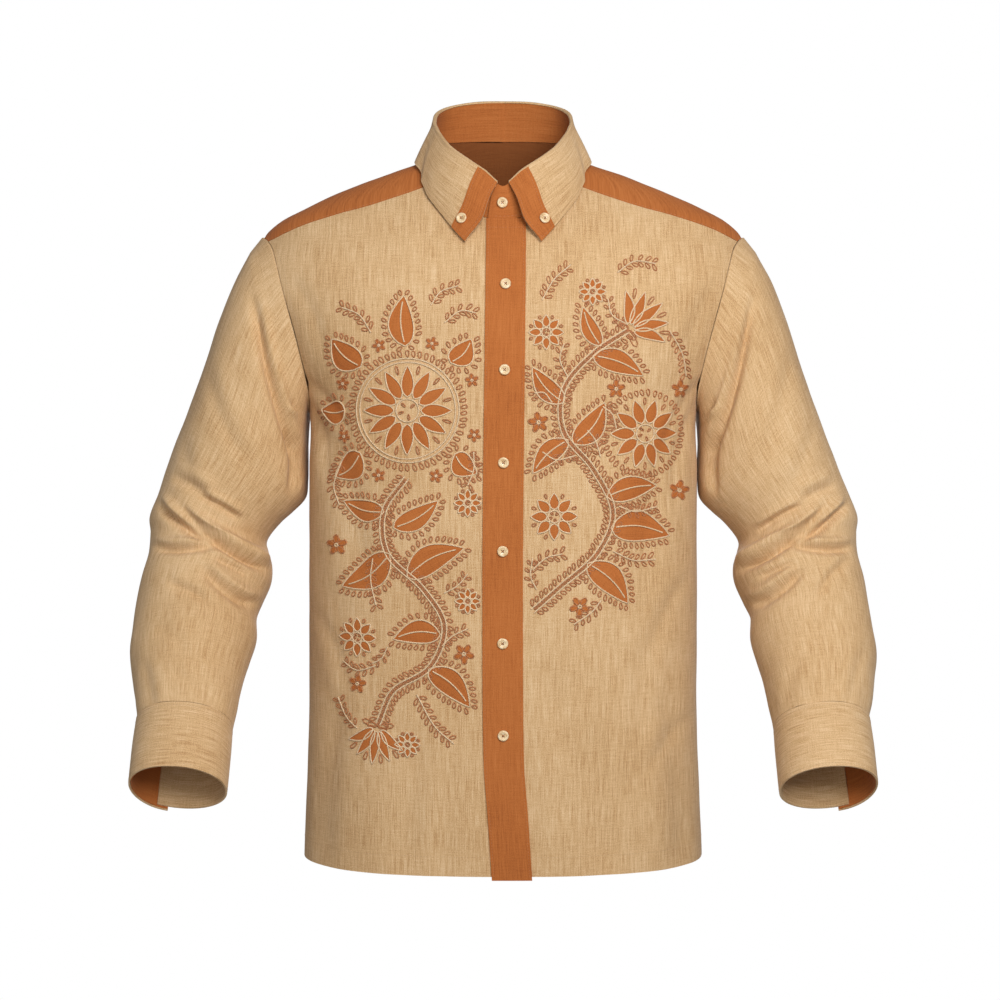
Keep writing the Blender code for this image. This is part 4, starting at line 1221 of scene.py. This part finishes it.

# buttons with a raised rim, four holes painted as dark discs of shade, and crossed thread

button = {
    "radius": 0.00565,
    "profile": [
        (0.0, 0.0002),
        (0.0026, 0.0002),
        (0.0031, 0.0006),
        (0.0038, 0.0011),
        (0.0047, 0.0011),
        (0.0054, 0.0006),
        (0.00565, 0.0),
        (0.0054, -0.0007),
        (0.0044, -0.0011),
        (0.0, -0.0011),
    ],
    "hole": 0.00058,
    "spread": 0.00125,
    "thread": 0.0002,
    "frontHeights": [-0.1285, -0.2165, -0.3110, -0.4010, -0.4950, -0.5890],
    "standHeight": -0.0420,
    "standTurn": 0.953,
    "collarRow": 0.75,
    "collarUp": 0.14,
}

buttonGraph = Graph("cream button")
swirl = buttonGraph.noise(buttonGraph.node("ShaderNodeTexCoord", {}, (), 3), 260.0, 3.0)
buttonTones = [
    (0.3, (0.62, 0.38, 0.18, 1.0)),
    (0.5, (0.82, 0.60, 0.34, 1.0)),
    (0.72, (0.93, 0.78, 0.54, 1.0)),
]
buttonGraph.feed("Base Color", buttonGraph.node("ShaderNodeValToRGB", {"stops": buttonTones}, (swirl,)))
buttonGraph.settle(Roughness=0.3)
creamButton = buttonGraph.material
# painted shade: the holes are dark discs laid on the button's face, standing in for the shade inside real
# holes
holeShadeGraph = Graph("button hole")
holeShadeGraph.settle(Base_Color=(0.10, 0.035, 0.012, 1.0), Roughness=0.9)
holeShadePaint = holeShadeGraph.material
buttonThreads = []


def buttonPiece(node, seat, normal):
    turn = normal.to_track_quat("Z", "Y")
    place = seat + normal * (body["seamGap"] + 0.0011)
    shape = bmesh.new()
    knots = [shape.verts.new((r, 0, z)) for r, z in button["profile"]]
    edges = [shape.edges.new(pair) for pair in zip(knots, knots[1:])]
    bmesh.ops.spin(
        shape, geom=knots + edges, cent=(0, 0, 0), axis=(0, 0, 1), dvec=(0, 0, 0),
        angle=2 * math.pi, steps=28, use_merge=True,
    )
    bmesh.ops.remove_doubles(shape, verts=shape.verts, dist=0.00001)
    bmesh.ops.recalc_face_normals(shape, faces=shape.faces)
    for number in range(4):
        angle = math.pi / 4 + number * math.pi / 2
        disc = bmesh.ops.create_circle(shape, cap_ends=True, segments=10, radius=button["hole"])
        spot = Vector((math.cos(angle), math.sin(angle), 0)) * button["spread"]
        bmesh.ops.translate(shape, verts=disc["verts"], vec=spot + Vector((0, 0, 0.00025)))
        # the hole discs take the dark painted-shade paint
        for face in {face for vertex in disc["verts"] for face in vertex.link_faces}:
            face.material_index = 1
        if number < 2:
            high = Vector((0, 0, 0.0007))
            ends = [spot, spot * 0.6 + high, -spot * 0.6 + high, -spot]
            for aside in (-0.00022, 0.00022):
                shift = Vector((-spot.y, spot.x, 0)).normalized() * aside
                buttonThreads.append(([place + turn @ (end + shift) for end in ends], False))
    for vertex in shape.verts:
        vertex.co = place + turn @ vertex.co
    piece = finished(node + "Shown", shape, [creamButton, holeShadePaint], math.radians(60))
    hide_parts(node)


for number, height in enumerate(button["frontHeights"], start=2):
    seat, normal = bodySurface(bodyAngle(tableRow(placketLine, height)[0], height), height)
    buttonPiece(f"button_front_{number}", seat + normal * placketLift, normal)
standUp = (button["standHeight"] - neckSeam[0][1]) / (collarRim[0][2] - neckSeam[0][1])
seat, out = standForm(button["standTurn"], standUp)
buttonPiece("button_front_1", seat + out * body["seamGap"] / 2, Vector((0, -1, 0)))
for sideName, side in (("left", 1), ("right", -1)):
    seat, normal = raised(collarForm, 0.5 * button["collarRow"] / (len(collarRim) - 1), button["collarUp"])
    seat = seat + normal * (2 * body["seamGap"] + collar["trim"])
    buttonPiece("button_collar_" + sideName, onSide(seat, side), onSide(normal, side))
    seat, normal = cuffPoint((cuff["overEnd"] + cuff["underEnd"]) / 2, 0.5)
    buttonPiece("button_cuff_" + sideName, onSide(seat, side), onSide(normal, side).normalized())
threadWork("buttonThread", buttonThreads, button["thread"], rustThread, 0)
print("buttons made")

# stitched design of rosettes, leaves and a waving stem, on both fronts

design = {"cord": 0.0008, "loop": 0.00072, "loopLift": 0.0005, "cordLift": 0.0007, "leafLift": 0.0005}
cords, loops, leaves = [], [], []
steady = random.Random(7)


def polar(x, z, radius, angle):
    return x + radius * math.cos(angle), z + radius * math.sin(angle)


def onFront(x, z, lift):
    point, normal = bodySurface(bodyAngle(x, z), z)
    return point + normal * lift


def cord(points, closed=False, lift=None):
    lift = design["cordLift"] if lift is None else lift
    cords.append(([onFront(x, z, lift) for x, z in points], closed))


def loop(x, z, angle, length, width):
    # one chain stitch: a drop-shaped ring that leans along angle
    ahead, aside = (math.cos(angle), math.sin(angle)), (-math.sin(angle), math.cos(angle))
    points = []
    for step in range(8):
        turn = 2 * math.pi * step / 8
        along = length * (1 - math.cos(turn)) / 2
        across = width / 2 * math.sin(turn) * (0.55 + 0.45 * along / length)
        spot = (x + ahead[0] * along + aside[0] * across, z + ahead[1] * along + aside[1] * across)
        points.append(onFront(*spot, design["loopLift"]))
    loops.append((points, True))


def smoothPath(knots, step=0.002):
    xs, zs = [knot[0] for knot in knots], [knot[1] for knot in knots]
    length = sum(math.dist(a, b) for a, b in zip(knots, knots[1:]))
    count = max(4, int(length / step))
    last = len(knots) - 1
    return [(curveValue(xs, last * n / count), curveValue(zs, last * n / count)) for n in range(count + 1)]


def offsetPath(points, distance):
    found = []
    for number, (x, z) in enumerate(points):
        before, after = points[max(number - 1, 0)], points[min(number + 1, len(points) - 1)]
        angle = math.atan2(after[1] - before[1], after[0] - before[0])
        found.append((x - math.sin(angle) * distance, z + math.cos(angle) * distance))
    return found


def loopRow(points, closed, distance, lean, spacing, length, width):
    # loops beside a path: they stand off it by distance and lean forward from square by lean
    travelled, wanted = 0.0, spacing / 2
    turns = points + [points[0]] if closed else points
    for start, end in zip(turns, turns[1:]):
        run = math.dist(start, end)
        angle = math.atan2(end[1] - start[1], end[0] - start[0])
        while travelled + run >= wanted and run > 0:
            share = (wanted - travelled) / run
            x, z = start[0] + (end[0] - start[0]) * share, start[1] + (end[1] - start[1]) * share
            square = angle + math.copysign(math.pi / 2, distance)
            turn = square - math.copysign(lean, distance) + steady.uniform(-0.12, 0.12)
            loop(*polar(x, z, abs(distance), square), turn, length * steady.uniform(0.88, 1.1), width)
            wanted += spacing
        travelled += run


def leafPlace(base, tip, width, bow):
    run = (tip[0] - base[0], tip[1] - base[1])
    length = math.hypot(*run)
    ahead = (run[0] / length, run[1] / length)

    def place(along, across):
        half = width / 2 * math.sin(math.pi * along**0.75) ** 0.85 if 0 < along < 1 else 0.0
        aside = bow * math.sin(math.pi * along) + half * across
        forward = along * length
        x = base[0] + ahead[0] * forward - ahead[1] * aside
        return x, base[1] + ahead[1] * forward + ahead[0] * aside

    return place


def leaf(base, tip, width, bow=0.0, edged=True, trimmed=False):
    place = leafPlace(base, tip, width, bow)
    leaves.append((place, math.dist(base, tip), width))
    steps = 14
    oneSide = [place(n / steps, 1.0) for n in range(steps + 1)]
    otherEdge = [place(n / steps, -1.0) for n in range(steps - 1, 0, -1)]
    if edged:
        cord(oneSide + otherEdge, True)
    if trimmed:
        cord([place(0.08 + 0.8 * n / 10, 0.0) for n in range(11)], lift=design["cordLift"] + 0.0004)
        otherSteps = [oneSide[0]] + otherEdge[::-1] + [oneSide[-1]]
        for edge, distance in ((oneSide, 0.0022), (otherSteps, -0.0022)):
            loopRow(edge, False, distance, 0.45, 0.0060, 0.0062, 0.0040)


def ring(x, z, radius, steps=40):
    return [polar(x, z, radius, 2 * math.pi * n / steps) for n in range(steps)]


def rosette(x, z, radius, petals):
    core = radius * 0.30
    for number in range(petals):
        angle = 2 * math.pi * number / petals
        width = 2 * math.pi * radius * 0.62 / petals * 0.86
        leaf(polar(x, z, core, angle), polar(x, z, radius, angle), width)
        between = angle + math.pi / petals
        loop(*polar(x, z, radius * 0.82, between), between, radius * 0.2, 0.0034)
    cord(ring(x, z, core * 0.86, 20), True)
    loopRow(ring(x, z, core * 0.30, 12), True, -0.0001, 0.0, core * 0.42, core * 0.42, 0.0026)


def flower(x, z, size, turn):
    # a little flower of close satin loops
    for number in range(5):
        angle = turn + 2 * math.pi * number / 5
        base = polar(x, z, size * 0.2, angle)
        leaf(base, polar(x, z, size, angle), size * 0.72, edged=False)
        loop(*base, angle, size * 0.86, size * 0.62)
    cord(ring(x, z, size * 0.16, 8), True)


def spray(knots, size):
    # a fern: a cord with leaning loops on both sides
    path = smoothPath(knots)
    cord(path)
    for distance in (0.0011, -0.0011):
        loopRow(path, False, distance, 0.75, 0.0075, size, size * 0.55)


def stem(knots):
    path = smoothPath(knots)
    for distance in (0.0024, -0.0024):
        cord(offsetPath(path, distance))
        loopRow(path, False, distance * 1.7, 0.6, 0.0062, 0.0068, 0.0042)
    loopRow(path, False, 0.0001, math.pi / 2, 0.0048, 0.0044, 0.0024)
    return path


def bell(x, z, angle, size):
    for spread in (-0.96, -0.48, 0.0, 0.48, 0.96):
        turn = angle + spread
        tip = polar(x, z, size * (1 - 0.12 * abs(spread)), turn)
        leaf(polar(x, z, size * 0.14, turn), tip, size * 0.235, bow=-spread * size * 0.06)
        if spread < 0.9:
            loop(*polar(x, z, size * 0.72, turn + 0.24), turn + 0.24, size * 0.24, 0.0042)
    for spread in (-1.6, 1.6):
        for reach in (0.42, 0.28):
            turn = angle + spread * (0.75 + 0.35 * reach / 0.42)
            loop(x, z, turn, size * reach, size * 0.16)


def medallion(x, z, radius):
    rosette(x, z, radius * 0.74, 12)
    cord(ring(x, z, radius * 0.80, 64), True)
    rim = ring(x, z, radius * 0.86, 64)
    cord(rim, True)
    loopRow(rim, True, -0.0016, 0.25, 0.0062, 0.0072, 0.0046)


def placeAll(make, rows, **settings):
    for row in rows:
        make(*row, **settings)


# the wearer's right front
centre = (-0.098, -0.258)
medallion(*centre, 0.062)
for degrees, end, width, bow in (
    (92, 0.118, 0.026, 0.004),
    (137, 0.108, 0.028, 0.004),
    (180, 0.091, 0.024, 0.003),
    (222, 0.104, 0.028, 0.004),
    (318, 0.096, 0.024, -0.004),
    (48, 0.098, 0.024, -0.004),
):
    start, angle = 0.066, math.radians(degrees)
    leaf(polar(*centre, start, angle), polar(*centre, end, angle), width, bow, trimmed=True)
for degrees in (70, 114, 158, 202, 246, 294, 340, 25):
    angle = math.radians(degrees)
    flower(*polar(*centre, 0.073, angle), 0.0065, angle)
stem([(-0.098, -0.326), (-0.122, -0.362), (-0.118, -0.405), (-0.082, -0.440), (-0.060, -0.478),
      (-0.075, -0.520), (-0.112, -0.545), (-0.128, -0.580)])
bell(-0.1285, -0.582, math.radians(262), 0.040)
placeAll(leaf, [
    ((-0.116, -0.405), (-0.166, -0.440), 0.030, 0.006),
    ((-0.098, -0.428), (-0.040, -0.398), 0.028, 0.006),
    ((-0.064, -0.486), (-0.112, -0.492), 0.024, -0.005),
    ((-0.076, -0.522), (-0.034, -0.560), 0.026, 0.005),
    ((-0.122, -0.362), (-0.166, -0.352), 0.022, 0.004),
    ((-0.112, -0.378), (-0.066, -0.350), 0.022, -0.004),
], trimmed=True)
placeAll(rosette, [
    (-0.036, -0.352, 0.014, 8),
    (-0.150, -0.492, 0.020, 8),
    (-0.036, -0.452, 0.013, 8),
    (-0.098, -0.600, 0.013, 8),
])
placeAll(flower, [
    (-0.172, -0.398, 0.010, 0.4),
    (-0.040, -0.506, 0.010, 1.0),
    (-0.150, -0.540, 0.009, 0.2),
])
placeAll(spray, [
    ([(-0.060, -0.168), (-0.044, -0.156), (-0.028, -0.158)], 0.0075),
    ([(-0.136, -0.178), (-0.148, -0.160), (-0.166, -0.152)], 0.0075),
    ([(-0.074, -0.150), (-0.064, -0.136), (-0.046, -0.130)], 0.0075),
    ([(-0.170, -0.312), (-0.176, -0.336), (-0.170, -0.356)], 0.0070),
    ([(-0.030, -0.300), (-0.030, -0.318), (-0.036, -0.334)], 0.0065),
    ([(-0.134, -0.410), (-0.136, -0.432), (-0.130, -0.458)], 0.0070),
    ([(-0.060, -0.444), (-0.046, -0.436), (-0.036, -0.424)], 0.0065),
    ([(-0.118, -0.500), (-0.124, -0.512), (-0.134, -0.518)], 0.0060),
    ([(-0.062, -0.498), (-0.052, -0.488), (-0.036, -0.480)], 0.0070),
    ([(-0.150, -0.586), (-0.164, -0.574), (-0.172, -0.556)], 0.0070),
    ([(-0.130, -0.520), (-0.150, -0.526), (-0.166, -0.518)], 0.0070),
    ([(-0.088, -0.548), (-0.070, -0.580), (-0.050, -0.598)], 0.0075),
])

# the wearer's left front
stem([(0.030, -0.462), (0.060, -0.436), (0.096, -0.404), (0.112, -0.362), (0.092, -0.318),
      (0.062, -0.280), (0.062, -0.236), (0.092, -0.200), (0.128, -0.176)])
bell(0.1285, -0.1755, math.radians(38), 0.046)
rosette(0.146, -0.282, 0.036, 10)
loopRow(ring(0.146, -0.282, 0.039, 48), True, -0.0001, 0.2, 0.0060, 0.0066, 0.0044)
placeAll(rosette, [
    (0.052, -0.366, 0.024, 8),
    (0.044, -0.178, 0.018, 8),
    (0.092, -0.136, 0.014, 8),
])
placeAll(leaf, [
    ((0.110, -0.378), (0.172, -0.388), 0.032, 0.006),
    ((0.086, -0.414), (0.128, -0.456), 0.028, 0.005),
    ((0.106, -0.346), (0.160, -0.336), 0.024, 0.004),
    ((0.072, -0.292), (0.104, -0.250), 0.026, -0.005),
    ((0.062, -0.250), (0.030, -0.214), 0.022, 0.004),
    ((0.066, -0.288), (0.030, -0.322), 0.022, -0.004),
    ((0.092, -0.202), (0.144, -0.222), 0.024, 0.004),
    ((0.100, -0.192), (0.082, -0.152), 0.018, 0.003),
], trimmed=True)
placeAll(flower, [
    (0.036, -0.270, 0.010, 0.5),
    (0.184, -0.342, 0.010, 0.1),
    (0.078, -0.458, 0.010, 0.9),
    (0.116, -0.236, 0.009, 0.3),
    (0.184, -0.236, 0.009, 0.3),
])
placeAll(spray, [
    ([(0.172, -0.176), (0.186, -0.200), (0.190, -0.222)], 0.0070),
    ([(0.118, -0.356), (0.136, -0.362), (0.160, -0.358)], 0.0065),
    ([(0.100, -0.306), (0.094, -0.288), (0.086, -0.278)], 0.0060),
    ([(0.112, -0.402), (0.134, -0.412), (0.158, -0.412)], 0.0075),
    ([(0.050, -0.250), (0.042, -0.240), (0.032, -0.240)], 0.0060),
    ([(0.066, -0.224), (0.058, -0.206), (0.062, -0.190)], 0.0065),
    ([(0.040, -0.300), (0.054, -0.308), (0.074, -0.304)], 0.0060),
    ([(0.102, -0.254), (0.112, -0.262), (0.116, -0.276)], 0.0055),
    ([(0.100, -0.452), (0.090, -0.464), (0.072, -0.476)], 0.0070),
    ([(0.034, -0.440), (0.028, -0.426), (0.030, -0.408)], 0.0060),
    ([(0.128, -0.170), (0.112, -0.160), (0.108, -0.144)], 0.0060),
    ([(0.030, -0.420), (0.044, -0.408), (0.060, -0.404)], 0.0070),
    ([(0.118, -0.116), (0.136, -0.104), (0.158, -0.106)], 0.0075),
    ([(0.040, -0.145), (0.052, -0.124), (0.070, -0.108)], 0.0075),
])


def leafCloth():
    shape = bmesh.new()
    weave = shape.loops.layers.uv.verify()
    for place, length, width in leaves:
        along = max(8, int(length / 0.0022))
        made = bmesh.ops.create_grid(shape, x_segments=6, y_segments=along, size=0.5)
        for vertex in made["verts"]:
            across, forward = vertex.co.x * 2, vertex.co.y + 0.5
            x, z = place(min(max(forward, 0.002), 0.998), across)
            edge = max(abs(across), abs(2 * forward - 1) ** 6)
            lift = design["leafLift"] * (1 - edge**4) - 0.0002 * edge**4
            for wedge in vertex.link_loops:
                wedge[weave].uv = (across * width / 2, forward * length)
            vertex.co = onFront(x, z, lift + 0.0002)
    return finished("appliedLeaves", shape, [rustCloth], math.radians(60))


leafCloth()
threadWork("creamCords", cords, design["cord"], creamCord, 1)
rightLoops = [path for path in loops if path[0][0].x < 0]
leftLoops = [path for path in loops if path[0][0].x >= 0]
threadWork("rightFrontLoops", rightLoops, design["loop"], rustThread, 0)
threadWork("leftFrontLoops", leftLoops, design["loop"], rustThread, 0)
print("stitched design made:", len(leaves), "leaves,", len(cords), "cords,", len(loops), "loops")

# camera, light and floor

studio = {"camera": (-0.0032, -2.4, -0.2268), "lens": 80, "shift": -0.12, "world": 0.26}
lamps = {
    "key": {"place": (0.58, -2.0, 0.62), "size": 1.1, "power": 40, "aim": (0, 0, -0.2)},
    "fill": {"place": (-0.7, -2.5, -0.5), "size": 1.6, "power": 9, "aim": (0, 0, -0.4)},
    "back": {"place": (0.2, 2.8, 0.1), "size": 1.8, "power": 40, "aim": (0, 0, -0.3)},
}

cameraData = bpy.data.cameras.new("camera")
cameraData.lens = studio["lens"]
cameraData.sensor_width = 36
cameraData.shift_y = studio["shift"]
camera = bpy.data.objects.new("camera", cameraData)
camera.location = studio["camera"]
camera.rotation_euler = (math.pi / 2, 0, 0)
bpy.context.scene.collection.objects.link(camera)
bpy.context.scene.camera = camera
bpy.context.scene.view_settings.view_transform = "Standard"

world = bpy.data.worlds.new("studio")
bpy.context.scene.world = world
world.use_nodes = True
world.node_tree.nodes["Background"].inputs[0].default_value = (1, 1, 1, 1)
world.node_tree.nodes["Background"].inputs[1].default_value = studio["world"]

for name, lamp in lamps.items():
    data = bpy.data.lights.new(name, "AREA")
    data.size = lamp["size"]
    data.energy = lamp["power"]
    light = bpy.data.objects.new(name, data)
    light.location = lamp["place"]
    aim = Vector(lamp["aim"]) - Vector(lamp["place"])
    light.rotation_euler = aim.to_track_quat("-Z", "Y").to_euler()
    bpy.context.scene.collection.objects.link(light)


def stagePiece(name, shape, tone):
    # a pale even surface that doesn't light the shirt
    graph = Graph(name)
    graph.settle(Base_Color=(0, 0, 0, 1), Specular_IOR_Level=0)
    graph.settle(Emission_Color=(tone, tone, tone, 1), Emission_Strength=1.0)
    mesh = bpy.data.meshes.new(name)
    shape.to_mesh(mesh)
    shape.free()
    mesh.materials.append(graph.material)
    piece = bpy.data.objects.new(name, mesh)
    piece.visible_diffuse = False
    piece.visible_glossy = False
    piece.visible_shadow = False
    bpy.context.scene.collection.objects.link(piece)


shape = bmesh.new()
bmesh.ops.create_grid(shape, x_segments=1, y_segments=1, size=7)
bmesh.ops.translate(shape, verts=shape.verts, vec=(0, 0, -1.3))
stagePiece("floor", shape, 1.0)
shape = bmesh.new()
bmesh.ops.create_icosphere(shape, subdivisions=4, radius=9)
bmesh.ops.reverse_faces(shape, faces=shape.faces)
stagePiece("backdrop", shape, 1.0)

print("scene made")
